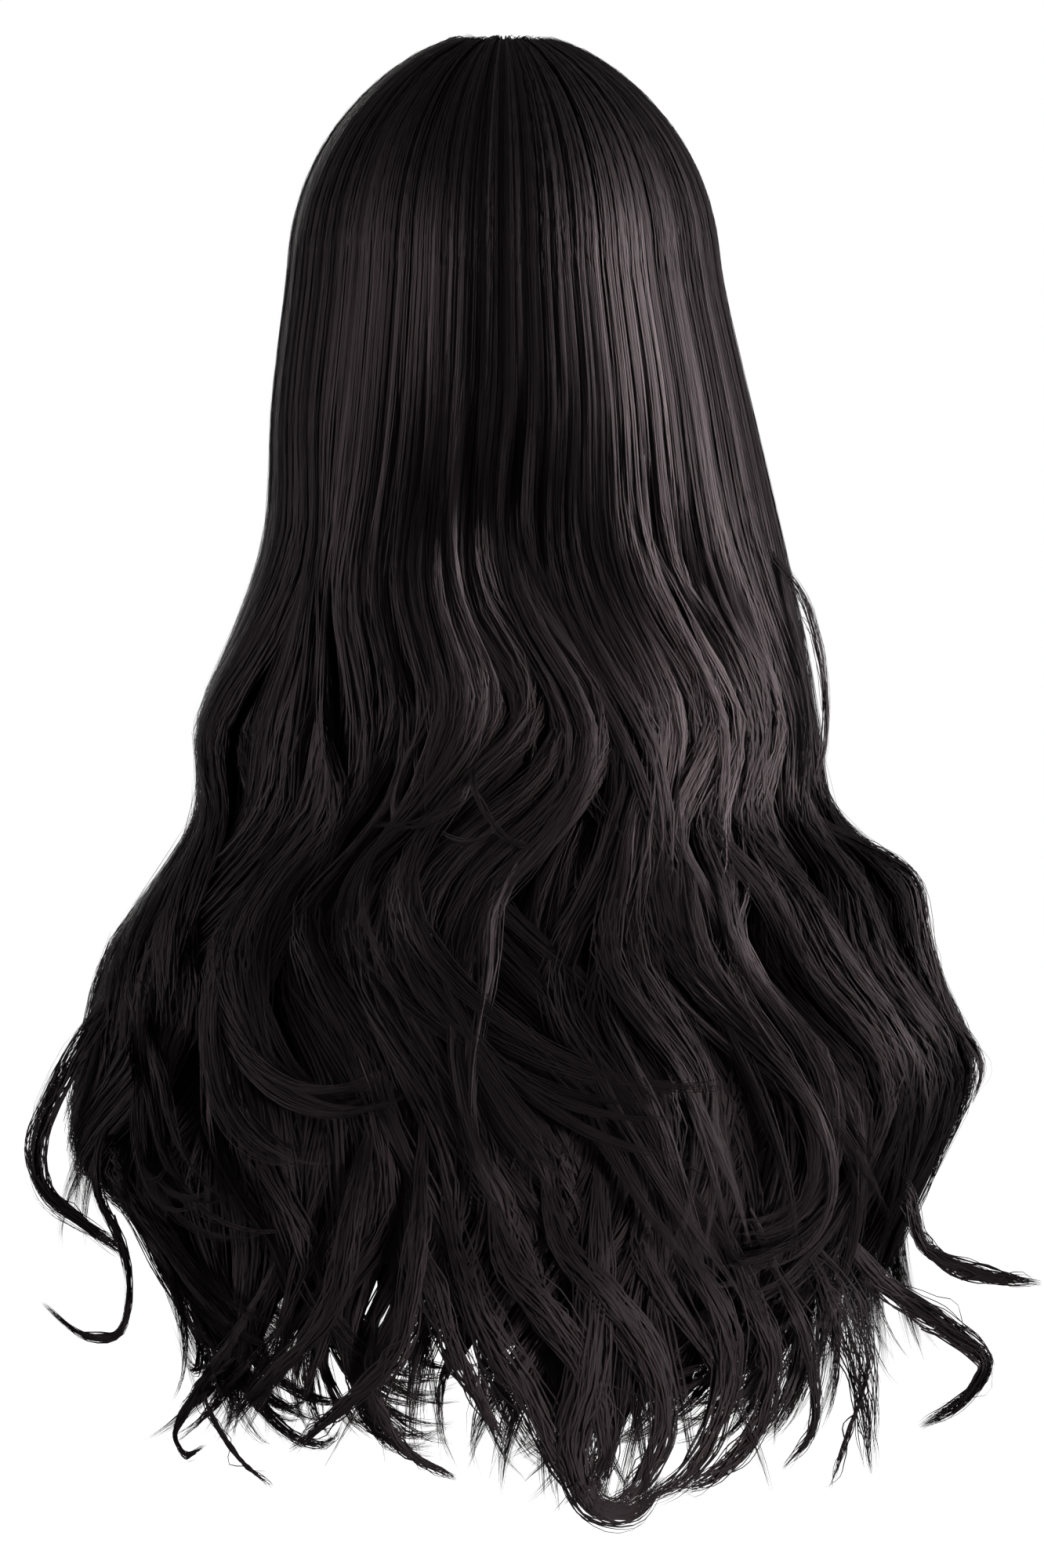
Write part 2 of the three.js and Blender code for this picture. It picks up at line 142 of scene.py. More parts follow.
# Hollows between the locks: bearing and height of the middle, degrees that it moves to the right for
# each mm down, half extents in degrees to the left and right and in mm above and below, and depth.
# A depth below 0 is a swell.
HOLLOWS = named_rows(
    "bearing height slant left right above below depth",
    below_crown=(0, -212, 0.2, 20, 17, 44, 80, 13),
    left_of_middle=(-30, -275, 0.1, 8, 10, 32, 32, 8),
    right_crease=(39, -230, 0.35, 6, 8, 30, 30, 7),
    right_swell=(18, -350, 0.1, 12, 18, 36, 36, -8),
    low_left=(-15, -425, 0.0, 14, 16, 40, 45, 10),
    low_right=(26, -425, 0.0, 9, 12, 36, 45, 10),
)
HOLLOW_JITTER = Sizes(bearing=1.5, height=10)
HOLLOW_CONTRAST = 2.2
# The lower edge of the hair, and the lowest tuft, to which the tips beside it turn
LOWEST = Table(
    "x z",
    (-215, -490), (-175, -520), (-150, -565), (-140, -597), (-66, -597), (-40, -608), (-8, -610),
    (33, -626), (71, -626), (105, -600), (136, -596), (160, -576), (190, -556), (230, -540),
)
TUFT = Sizes(x=52, between=(-60, -10), facing=(0.1, 0.5), most=70, uneven=18)

# The camera sees the photograph's frame. A pixel is this large, in mm, at the plane of the outline.
PIXEL = 0.343
FRAME_PIXELS = (1332, 2000)
HEAD_PIXEL_X, TOP_PIXEL_Y = 643, 42
LENS = 200
SENSOR = 36
PICTURE_PLANE_Y = -20
PICTURE_MIDDLE = (
    (FRAME_PIXELS[0] / 2 - HEAD_PIXEL_X) * PIXEL,
    OVER_HEAD.height - HEAD_HEIGHT - (FRAME_PIXELS[1] / 2 - TOP_PIXEL_Y) * PIXEL,
)
CAMERA_DISTANCE = FRAME_PIXELS[1] * PIXEL * LENS / SENSOR


def ease(x, low, high):
    """A smooth step from 0 at low to 1 at high."""
    t = np.clip((x - low) / (high - low), 0, 1)
    return t * t * (3 - 2 * t)


def lerp(a, b, t):
    return a + (b - a) * t


def unit(v):
    return v / np.maximum(np.linalg.norm(v, axis=-1, keepdims=True), 1e-12)


def dot(a, b):
    return (a * b).sum(-1, keepdims=True)


def square_to(v, axis):
    return unit(v - dot(v, axis) * axis)


def slerp(a, b, t):
    angle = np.arccos(np.clip((a * b).sum(-1), -1, 1))
    sine = np.maximum(np.sin(angle), 1e-9)
    near = angle < 1e-6
    first = np.where(near, 1 - t, np.sin((1 - t) * angle) / sine)
    second = np.where(near, t, np.sin(t * angle) / sine)
    return first[..., None] * a + second[..., None] * b


def run_along(points):
    """Length of each path from its start to each of its points."""
    step = np.linalg.norm(np.diff(points, axis=1), axis=-1)
    return np.concatenate([np.zeros((len(points), 1)), step.cumsum(1)], 1)


# The flow of the hair. A station down a hair is a share of its way over the head, from 0 at the
# root to 1 at the head's widest level, and then 1 plus the millimetres that it has fallen since.


def fall_of(z):
    return 1 - HEAD_HEIGHT - z


def height_of(station):
    return 1 - HEAD_HEIGHT - station


def direction(x, y, z):
    return unit(np.stack(np.broadcast_arrays(x, y, z), -1))


def head_direction(bearing, share):
    """Direction from the middle of the head to a hair on its way over the head."""
    side = np.abs(bearing)
    low, high = math.radians(FRONT.first), math.radians(FRONT.last)
    to_front = ease(side, low, high)
    along = np.clip((side - low) / (high - low), 0, 1)
    angle = np.radians(lerp(PARTING.rear_angle, PARTING.front_angle, along))
    aside = np.where(side > low, np.sign(bearing) * PARTING.half_gap / OVER_HEAD.height, 0)
    root = direction(aside, np.sin(angle), np.cos(angle))
    bend = np.radians(lerp(*SHOULDER_ANGLES, to_front))
    around = direction(np.sin(bearing), -np.cos(bearing), 0 * bearing)
    shoulder = direction(np.sin(bearing) * np.sin(bend), -np.cos(bearing) * np.sin(bend), np.cos(bend))
    return slerp(slerp(root, shoulder, share), slerp(shoulder, around, share), share)


def wave_phase(bearing, z):
    left = ease(-np.degrees(bearing), WAVE.left_from, WAVE.left_to)
    return FULL_TURN * (WAVE.rise - z) / WAVE.length + math.pi * left


def half_width_at(bearing, z):
    return np.where(bearing < 0, OUTLINE.at(z, "left"), OUTLINE.at(z, "right"))


def hair_point(bearing, station, depth, lift=0):
    """A point of the hair: depth 0 is the outer surface and 1 the cap; lift is in mm, outward."""
    way = head_direction(bearing, np.clip(station, 0, 1))
    inset = OUTLINE.at(-HEAD_HEIGHT, "thickness") * depth - lift
    roof = (OVER_HEAD.height - HEAD_HEIGHT - CAP_WALL - SEAT_GAP) * depth - lift
    over_x = way[..., 0] * (OVER_HEAD.half_width - inset)
    over_y = way[..., 1] * (OVER_HEAD.half_length - inset)
    over_z = -HEAD_HEIGHT + way[..., 2] * (OVER_HEAD.height - roof)
    over = np.stack([over_x, over_y, over_z], -1)
    z = np.minimum(height_of(station), -HEAD_HEIGHT)
    inset = OUTLINE.at(z, "thickness") * depth - lift
    power = 2 / OUTLINE.at(z, "squareness")
    sine, cosine = np.sin(bearing), -np.cos(bearing)
    across = np.sign(sine) * np.abs(sine) ** power
    along = np.sign(cosine) * np.abs(cosine) ** power
    reach = np.where(cosine < 0, OUTLINE.at(z, "back"), OUTLINE.at(z, "front"))
    fallen = np.stack([across * (half_width_at(bearing, z) - inset), along * (reach - inset), z], -1)
    return np.where((station <= 1)[..., None], over, fallen)


def arc_radius(bearing, z):
    """Millimetres round the hair's outer surface for each radian of bearing."""
    return np.hypot(half_width_at(bearing, z) * np.cos(bearing), OUTLINE.at(z, "back") * np.sin(bearing))


# The locks of the panels, as in the CAD source: the height where the tip starts to curl, and the turn
# of the tip sideways and outward in degrees
CROWN_LOCKS = [
    (-530, 0, 150), (-525, -30, 60), (-500, 40, 20), (-478, 55, 15), (-430, 60, 15),
    (-322, 80, 15), (-445, -45, 10), (-500, 45, 10), (-455, -60, 15), (-492, 35, 45),
    (-515, 35, 45), (-505, 45, 80), (-540, 0, 120),
]
BACK_LOCKS = [
    (-535, -50, 25), (-555, -30, 30), (-568, 35, 45), (-572, -50, 5), (-565, 40, 40),
    (-578, -40, 5), (-586, 25, 15), (-580, 35, 45), (-566, -40, 0), (-560, -35, 20),
    (-562, 40, 25), (-540, 40, 25),
]
NAPE_LOCKS = [
    (-570, 50, -35), (-588, -55, 5), (-578, 50, 5), (-592, 60, -35), (-588, -40, 0),
    (-602, -50, 5), (-584, -60, -30), (-590, -55, 5), (-572, 50, 10),
]
FRONT_LOCKS = [(-530, -35, 30), (-515, -20, 45), (-500, 30, 25), (-470, 45, 40)]
LEFT_LOCKS = [(tip, -sideways, outward) for tip, sideways, outward in reversed(FRONT_LOCKS)]

# Depth of a panel's outer face, as in the CAD source
OUTERMOST = Table("station depth", (0, 0), (fall_of(-640), 0))
BACK_DEPTH = Table(
    "station depth",
    (0.62, 0.5), (1, 0.49), (fall_of(-121), 0.35), (fall_of(-300), 0.36), (fall_of(-640), 0.36),
)
NAPE_DEPTH = Table(
    "station depth",
    (fall_of(-121), 0.68), (fall_of(-179), 0.68), (fall_of(-300), 0.69), (fall_of(-640), 0.7),
)


def lock_span(count):
    """Bearings of the first and last edge of a row of locks at the back."""
    return -count * LOCK_BEARING / 2, count * LOCK_BEARING / 2


LEFT_SPAN = (-FRONT.last, -FRONT.first + FRONT.overlap)
RIGHT_SPAN = (FRONT.first - FRONT.overlap, FRONT.last)

# The panels. Flow: span of bearings, station of the roots, depth, locks, height where the locks part,
# length of the tips, mm by which low tips are raised, and length of the taper. Form: mm by which hair
# stands off the head (rise) and dips to the parting (sink), width left to a tip, width of a guide in
# its own spaces (fullness), gain of the tips' turn (curl), share of the hollows (dent), and the strands.
PANEL_FLOW = named_rows(
    "span start depth locks parts tip_length raised tail",
    crown_hair=((-104, 104), 0.02, OUTERMOST, CROWN_LOCKS, -340, 92, 28, 120),
    back_hair=(lock_span(12), 0.62, BACK_DEPTH, BACK_LOCKS, -470, 95, 36, 105),
    nape_hair=(lock_span(9), fall_of(-121), NAPE_DEPTH, NAPE_LOCKS, -480, 90, 42, 100),
    left_front_hair=(LEFT_SPAN, 0.0, OUTERMOST, LEFT_LOCKS, -300, 85, 20, 110),
    right_front_hair=(RIGHT_SPAN, 0.0, OUTERMOST, FRONT_LOCKS, -300, 85, 20, 110),
)
PANEL_FORM = named_rows(
    "rise sink tip_share fullness curl dent strands pieces stations strand_width",
    crown_hair=(3.2, 4, 0.55, 3.2, 1.7, 1, 5200, 2, 32, 0.5),
    back_hair=(0, 0, 0.55, 3.2, 1.7, 0.6, 3200, 1, 26, 0.6),
    nape_hair=(0, 0, 0.55, 3.2, 1.7, 0.2, 3700, 1, 24, 0.65),
    left_front_hair=(3, 12, 0.5, 2.8, 1.1, 0, 1250, 1, 32, 0.55),
    right_front_hair=(3, 12, 0.5, 2.8, 1.1, 0, 1250, 1, 32, 0.55),
)
PANELS = {name: Sizes(**vars(flow), **vars(PANEL_FORM[name])) for name, flow in PANEL_FLOW.items()}

# Guides are the centre lines of small locks. A CAD lock ends in a few twists of neighbouring guides,
# which share their curl and their length. A guide's points lie on the head, in the fall and in the tip.
GUIDES_TO_LOCK = 12
GUIDES_TO_TWIST = 6
GUIDE_HEAD, GUIDE_FALL, GUIDE_TIP = 18, 70, 24
SAMPLES = 140
# Unevenness of the guides: the size of a normal spread, or the two ends of a range
PLACE_JITTER = 0.25
WAVE_SHIFT = Sizes(lock=0.6, twist=0.5, guide=0.4)
WAVE_GAIN = Sizes(lock=(0.95, 1.55), guide=(0.75, 1.3))
TIP_HEIGHT = Sizes(twist=(-22, 24), guide=4)
BURIED = (0, 1.6)
# How the guides lie. Places down the hair are mm below the origin. The rise, the roots and their normals
# end at stations. The step is in radians, and the spread is in mm for each radian of bearing.
RAISED_BELOW = (350, 450)
UNEVEN_BELOW = (170, 380)
LEAST_PARTED = 45
TAPER_POWER = 4
TWIST_DRAWN = 0.3
THICKNESS = Sizes(sizes=(0.9, 4.2), between=(100, 360))
THICKNESS_BELOW = 0.9
LOCK_ROUND = 4
RISE_END = 0.5
ROOT_RISE = 0.09
ROOT_NORMALS = (0.03, 0.15)
BEARING_STEP = 0.02
SPREAD = Sizes(least=10, on_head=300, below=170)
FULLNESS = Sizes(upper=1.3, between=(180, 420))
TAIL = Sizes(power=1.8, width=0.2, thickness=0.1, held=0.85)
# How the tips turn: an uneven gain, a power that makes the turn start slowly, and the least turn in
# radians. The rows below that are in degrees, but for places in mm to the left and a share.
TIP_TURN = Sizes(twist=0.2, guide=0.05, power=1.4, least=1e-4)
TIP_ASIDE = Sizes(most=110, uneven=14)
TIP_TO_LEFT = Sizes(limits=(-150, -30), between=(40, 80))
TIP_AWAY = Sizes(share=0.3, most=15, uneven=9)
# Range of the tips' lengths, and the share that is left where the lower edge is near
TIP_LENGTH = (0.75, 1.2)
LEAST_ROOM = 0.15
# How the normals lean: streaks on the head, round twists and locks below, and waves beside the face
LEAN_BETWEEN = (150, 400)
LEAN_NOISE = Sizes(upper=0.04, lower=0.14)
STREAKS = (3.7, 6.1, 11.3, 23)
STREAK_TILT = 0.08
RIDGE_TILT = 0.2
LOCK_TILT = 0.36
SIDE_PITCH = Sizes(size=0.3, shift=0.4)
GUIDE_TONE = Sizes(twist=0.6, guide=0.4)


def resample(rows, run, count):
    """Rows of values along each path, read at even steps of its length."""
    even = np.linspace(0, 1, count)
    return np.stack(
        [
            np.stack([np.interp(even * r[-1], r, v[:, i]) for i in range(v.shape[1])], -1)
            for v, r in zip(rows, run)
        ]
    )


def carried_on(values):
    """Values along a guide, of which the last is kept through the tip."""
    return np.concatenate([values, np.repeat(values[:, -1:], GUIDE_TIP, 1)], 1)


def guide_paths(panel):
    """Centre lines of a panel's small locks, with outward normals, half widths and half thicknesses."""
    locks = np.array(panel.locks, float)
    first_bearing, last_bearing = panel.span
    half = (last_bearing - first_bearing) / len(locks) / 2
    lock = np.repeat(np.arange(len(locks)), GUIDES_TO_LOCK)
    count = len(lock)
    twist = np.arange(count) // GUIDES_TO_TWIST
    twists = twist.max() + 1
    place = np.arange(count) % GUIDES_TO_LOCK + 0.5 + rng.uniform(-PLACE_JITTER, PLACE_JITTER, count)
    place = place / GUIDES_TO_LOCK * 2 - 1
    gathered = np.bincount(twist, place)[twist] / np.bincount(twist)[twist]
    shift = rng.normal(0, WAVE_SHIFT.lock, len(locks))[lock]
    shift = shift + rng.normal(0, WAVE_SHIFT.twist, twists)[twist]
    shift = shift + rng.normal(0, WAVE_SHIFT.guide, count)
    gain = rng.uniform(*WAVE_GAIN.lock, len(locks))[lock] * rng.uniform(*WAVE_GAIN.guide, count)
    tip_z = locks[lock, 0] + panel.raised * ease(-locks[lock, 0], *RAISED_BELOW)
    tip_z = tip_z + rng.uniform(*TIP_HEIGHT.twist, twists)[twist]
    tip_z = tip_z + rng.normal(0, TIP_HEIGHT.guide, count)
    parts = np.maximum(panel.parts, tip_z + LEAST_PARTED)[:, None]
    bury = rng.uniform(*BURIED, count)
    jitter = rng.normal(0, 1, (2, count, 1))

    # Stations from the root down to where the tip starts to curl
    on_head = GUIDE_HEAD - 1 if panel.start < 1 else 0
    over = np.stack([lerp(panel.start, 1, np.linspace(0, 1, GUIDE_HEAD)[:on_head])] * count)
    fall = lerp(max(panel.start, 1), fall_of(tip_z)[:, None], np.linspace(0, 1, GUIDE_FALL)[None])
    station = np.concatenate([over, fall], 1)
    z = np.minimum(height_of(station), -HEAD_HEIGHT)

    # Below the place where the locks part, each lock draws together
    down = np.clip((station - fall_of(parts)) / (parts - tip_z[:, None]), 0, 1)
    drawn = down**TAPER_POWER
    narrow = lerp(1, panel.tip_share, drawn)
    lock_middle = first_bearing + half * (2 * lock[:, None] + 1)
    apart = (place - gathered)[:, None] * lerp(1, TWIST_DRAWN, drawn)
    straight = np.radians(lock_middle + half * (gathered[:, None] * narrow + apart))
    ramp = ease(-z, *UNEVEN_BELOW)
    through = OUTLINE.at(z, "thickness")
    outer = panel.depth.at(station, "depth") * through
    thick = lerp(*THICKNESS.sizes, ease(-z, *THICKNESS.between))

    def dent_at(bearing):
        dent = 0 * z
        for hollow in HOLLOWS.values():
            aside = np.degrees(bearing) + HOLLOW_JITTER.bearing * jitter[0] - hollow.bearing
            aside = aside - hollow.slant * (hollow.height - z)
            aside = aside / np.where(aside < 0, hollow.left, hollow.right)
            up = z + HOLLOW_JITTER.height * jitter[1] - hollow.height
            up = up / np.where(up > 0, hollow.above, hollow.below)
            dent = dent + panel.dent * hollow.depth * np.exp(-(aside**2) - up**2)
        return np.where(station > 1, dent, 0)

    def laid(bearing, hollowed):
        """Points of hair that would hang straight down at a bearing, and the bearing where it lies."""
        phase = wave_phase(bearing, z) + shift[:, None] * ramp
        swing = WAVE_SIZE.at(z, "sideways") * lerp(1, gain[:, None], ramp)
        bearing = bearing + np.where(station > 1, swing * np.sin(phase) / arc_radius(bearing, z), 0)
        rounded = LOCK_ROUND * place[:, None] ** 2 * ramp
        depth = outer + thick * THICKNESS_BELOW + bury[:, None] + rounded
        if hollowed:
            depth = depth + dent_at(bearing)
        out = WAVE_SIZE.at(z, "outward") * np.abs(np.cos(bearing)) * np.cos(phase)
        out = out + panel.rise * (1 - ease(station, 0, RISE_END))
        out = out - panel.sink * (1 - ease(station, 0, ROOT_RISE))
        tucked = ease(-z, *TUCK.below) * ease(-np.degrees(bearing), *TUCK.left_of)
        out = out - TUCK.depth * tucked
        return hair_point(bearing, station, depth / through, out), bearing

    def surface(hollowed):
        """Points, their bearings, the way to the next bearing, and normals."""
        points, bearing = laid(straight, hollowed)
        beside = laid(straight + BEARING_STEP, hollowed)[0] - points
        return points, bearing, beside, unit(np.cross(np.gradient(points, axis=1), beside))

    plain = surface(False)[-1]
    points, bearing, beside, normals = surface(True)
    most = np.where(station < 1, SPREAD.on_head, SPREAD.below)
    spread = np.clip(np.linalg.norm(beside, axis=-1) / BEARING_STEP, SPREAD.least, most)
    normals = unit(plain + HOLLOW_CONTRAST * (normals - plain))
    radial = unit(points + np.array([0, 0, HEAD_HEIGHT]))
    normals = unit(lerp(radial, normals, ease(station, *ROOT_NORMALS)[..., None]))
    tip, tip_normals = guide_tips(panel, locks[lock], twist, points, normals, bearing[:, -1])
    points = np.concatenate([points, tip], 1)
    normals = np.concatenate([normals, tip_normals], 1)

    # Half widths cover the space to the next guide, and the tail tapers
    spacing = np.radians(2 * half / GUIDES_TO_LOCK)
    wide = 0.5 * spacing * carried_on(spread) * carried_on(narrow)
    full = ease(-points[..., 2], *FULLNESS.between)
    wide *= lerp(FULLNESS.upper, panel.fullness, full)
    run = run_along(points)
    tail = np.clip(1 - (run[:, -1:] - run) / panel.tail, 0, 1) ** TAIL.power
    wide = wide * lerp(1, TAIL.width, tail)
    thick = carried_on(thick) * lerp(1, TAIL.thickness, tail)
    loose = 1 - TAIL.held * tail
    measures = np.stack([wide, thick, loose], -1)
    rows = resample(np.concatenate([points, normals, measures], -1), run, SAMPLES)
    tilt, pitch = guide_leans(rows[..., :3], place, gathered, twist)
    tone = GUIDE_TONE.twist * rng.uniform(0, 1, twists)[twist]
    tone = tone + GUIDE_TONE.guide * rng.uniform(0, 1, count)
    return Sizes(
        points=rows[..., :3],
        normals=unit(rows[..., 3:6]),
        wide=rows[..., 6],
        thick=rows[..., 7],
        loose=rows[..., 8],
        tilt=tilt,
        pitch=pitch,
        tone=tone,
        length=run[:, -1],
        head=run[:, on_head - 1] if on_head else np.zeros(count),
    )


def guide_tips(panel, lock_rows, twist, points, normals, end_bearing):
    """Points and normals of the guides' tips, which curl about one axis, slowly at first."""
    count, twists = len(twist), twist.max() + 1
    end_x = points[:, -1, 0]
    forward = unit(points[:, -1] - points[:, -2])
    outward = square_to(normals[:, -1], forward)
    sideways = np.cross(forward, outward)
    to_right = np.stack([np.cos(end_bearing), np.sin(end_bearing), 0 * end_bearing], -1)
    sideways *= np.where(dot(sideways, to_right) < 0, -1, 1)
    turn = rng.normal(1, TIP_TURN.twist, twists)[twist] + rng.normal(0, TIP_TURN.guide, count)

    # Tips turn to the side that the lock's row says, and near the lowest tuft towards it
    aside = np.clip(panel.curl * lock_rows[:, 1], -TIP_ASIDE.most, TIP_ASIDE.most)
    aside = aside + rng.normal(0, TIP_ASIDE.uneven * panel.curl, twists)[twist]
    at_edge = ease(-end_x, *TIP_TO_LEFT.between)
    aside = np.maximum(aside, lerp(*TIP_TO_LEFT.limits, at_edge))
    to_tuft = np.clip(TUFT.x - end_x, -TUFT.most, TUFT.most)
    to_tuft = to_tuft + rng.normal(0, TUFT.uneven, twists)[twist]
    gathers = ease(end_x, *TUFT.between) * ease(np.cos(end_bearing), *TUFT.facing)
    aside = np.radians(lerp(aside, to_tuft, gathers))[:, None]
    away = np.minimum(TIP_AWAY.share * lock_rows[:, 2], TIP_AWAY.most)
    away = np.radians(away + rng.normal(0, TIP_AWAY.uneven, twists)[twist])[:, None]
    tucked = ease(-np.degrees(end_bearing), *TUCK.left_of)
    away = away - np.radians(TUCK.turn * tucked)[:, None]
    aim = (sideways * aside + outward * away) * turn[:, None]
    angle = np.maximum(np.linalg.norm(aim, axis=-1, keepdims=True), TIP_TURN.least)
    aim = aim / angle

    # A tip is shortened where it would pass the lower edge of the hair
    length = panel.tip_length * rng.uniform(*TIP_LENGTH, twists)[twist]
    steps = (np.arange(GUIDE_TIP) + 0.5) / GUIDE_TIP
    bend = (angle * steps[None] ** TIP_TURN.power)[..., None]
    heading = np.cos(bend) * forward[:, None] + np.sin(bend) * aim[:, None]
    tip = (heading * (length / GUIDE_TIP)[:, None, None]).cumsum(1)
    room = (points[:, -1, 2] - LOWEST.at(end_x, "z")) / np.maximum(-tip[..., 2].min(1), 1)
    tip = points[:, -1:] + tip * np.clip(room, LEAST_ROOM, 1)[:, None, None]
    axis = np.cross(forward, aim)[:, None]
    level = outward[:, None]
    turned = (
        level * np.cos(bend)
        + np.cross(axis, level) * np.sin(bend)
        + axis * dot(axis, level) * (1 - np.cos(bend))
    )
    return tip, turned


def guide_leans(points, place, gathered, twist):
    """Lean of the guides' normals: sideways as on a round twist or lock, and along the hair."""
    count, twists = len(twist), twist.max() + 1
    low = ease(-points[..., 2], *LEAN_BETWEEN)
    over_twist = -(place - gathered) * GUIDES_TO_LOCK / GUIDES_TO_TWIST
    upper_tilt = rng.normal(0, LEAN_NOISE.upper, count)
    for guides_to_streak in STREAKS:
        shift = rng.uniform(0, FULL_TURN)
        upper_tilt += STREAK_TILT * np.sin(FULL_TURN * np.arange(count) / guides_to_streak + shift)
    lower_tilt = RIDGE_TILT * over_twist - LOCK_TILT * place + rng.normal(0, LEAN_NOISE.lower, count)
    tilt = lerp(upper_tilt[:, None], lower_tilt[:, None], low)
    beside = 1 - np.abs(np.cos(np.arctan2(points[..., 0], -points[..., 1])))
    shift = rng.uniform(0, FULL_TURN, twists)[twist] + rng.normal(0, SIDE_PITCH.shift, count)
    wave = np.sin(FULL_TURN * points[..., 2] / WAVE.length + shift[:, None])
    return tilt, SIDE_PITCH.size * low * beside * wave


def read_guides(rows, guide, share):
    """Values of each strand's guide at the given shares of the guide's length."""
    at = np.clip(share, 0, 1) * (SAMPLES - 1)
    i = np.minimum(at.astype(int), SAMPLES - 2)
    t = at - i
    before, after = rows[guide[:, None], i], rows[guide[:, None], i + 1]
    if rows.ndim == 3:
        t = t[..., None]
    return before + (after - before) * t


# Strands. Gaps between stations are in mm. Roots are spread over the head, more of them near the top.
STATION_GAP = Sizes(head=18, fall=27, tip=12)
CLOSE_TIP = 95
ROOTS = Sizes(power=1.4, most=0.9)
ENDS = Sizes(uneven=0.05, short=0.06, short_ends=(0.6, 0.93))
STRAND_BETWEEN = (130, 380)
# A strand's place across its guide, in half widths, and through it
GROUPS = 4
PLACE = Sizes(uneven=0.55, most=1.4, in_group=0.12, grouped=0.4, through=(-0.8, 1))
# A strand rises from its root in a share of the guide's length, from a depth in mm
STRAND_ROOT = Sizes(shares=(0.012, 0.06), between=(0, 0.06), depth=3)
# Wander in mm, as waves along a guide: slow in groups, fine in each strand, and more in strays
SLOW = Sizes(waves=(1.6, 2.9), sizes=(0.2, 2.4))
FINE = Sizes(waves=(3.3, 7.1), gain=2, sizes=(0.2, 1.5), held=0.4)
STRAYS = Sizes(share=0.03, gain=(2, 5))
WANDER_OUT = 0.5
STRAND_LEAN = Sizes(sizes=(0.1, 0.5), to_next=0.5)
STRAND_TONE = Sizes(guide=0.85, strand=0.15)
STRAND_WIDTH = Sizes(uneven=(0.6, 1.2), lower=1.4, between=(250, 480))
POINT = Sizes(start=-2.2, power=1.5, thinned=0.95)
STRAND_ROLL = 4
STRAND_ROUND = 12
# The hair stays inside the CAD box with a margin, and is drawn in softly over a few mm
BOX_MARGIN = 14
BOX_SOFT = 10


def spaced_shares(guides, guide, first, last, stations):
    """Shares of the guide's length for a strand's stations: close on the head and in the tip."""
    even = np.linspace(0, 1, SAMPLES)
    way = np.linspace(0, 1, stations)
    share = np.zeros((len(guide), stations))
    for g in range(len(guides.length)):
        mine = guide == g
        run = even * guides.length[g]
        close = np.where(run < guides.head[g], 1 / STATION_GAP.head, 1 / STATION_GAP.fall)
        close = np.where(run > run[-1] - CLOSE_TIP, 1 / STATION_GAP.tip, close)
        total = np.concatenate([[0], np.cumsum((close[1:] + close[:-1]) / 2)])
        ends = np.interp(np.stack([first[mine], last[mine]]), even, total)
        wanted = lerp(ends[0][:, None], ends[1][:, None], way[None])
        share[mine] = np.interp(wanted, total, even)
    return share


def waves_along(share, waves, keys, key):
    """Two sine waves along each strand. Strands with the same key have the same shifts."""
    shift = rng.uniform(0, FULL_TURN, (2, keys))[:, key]
    return np.sin(FULL_TURN * waves * share + shift[..., None])


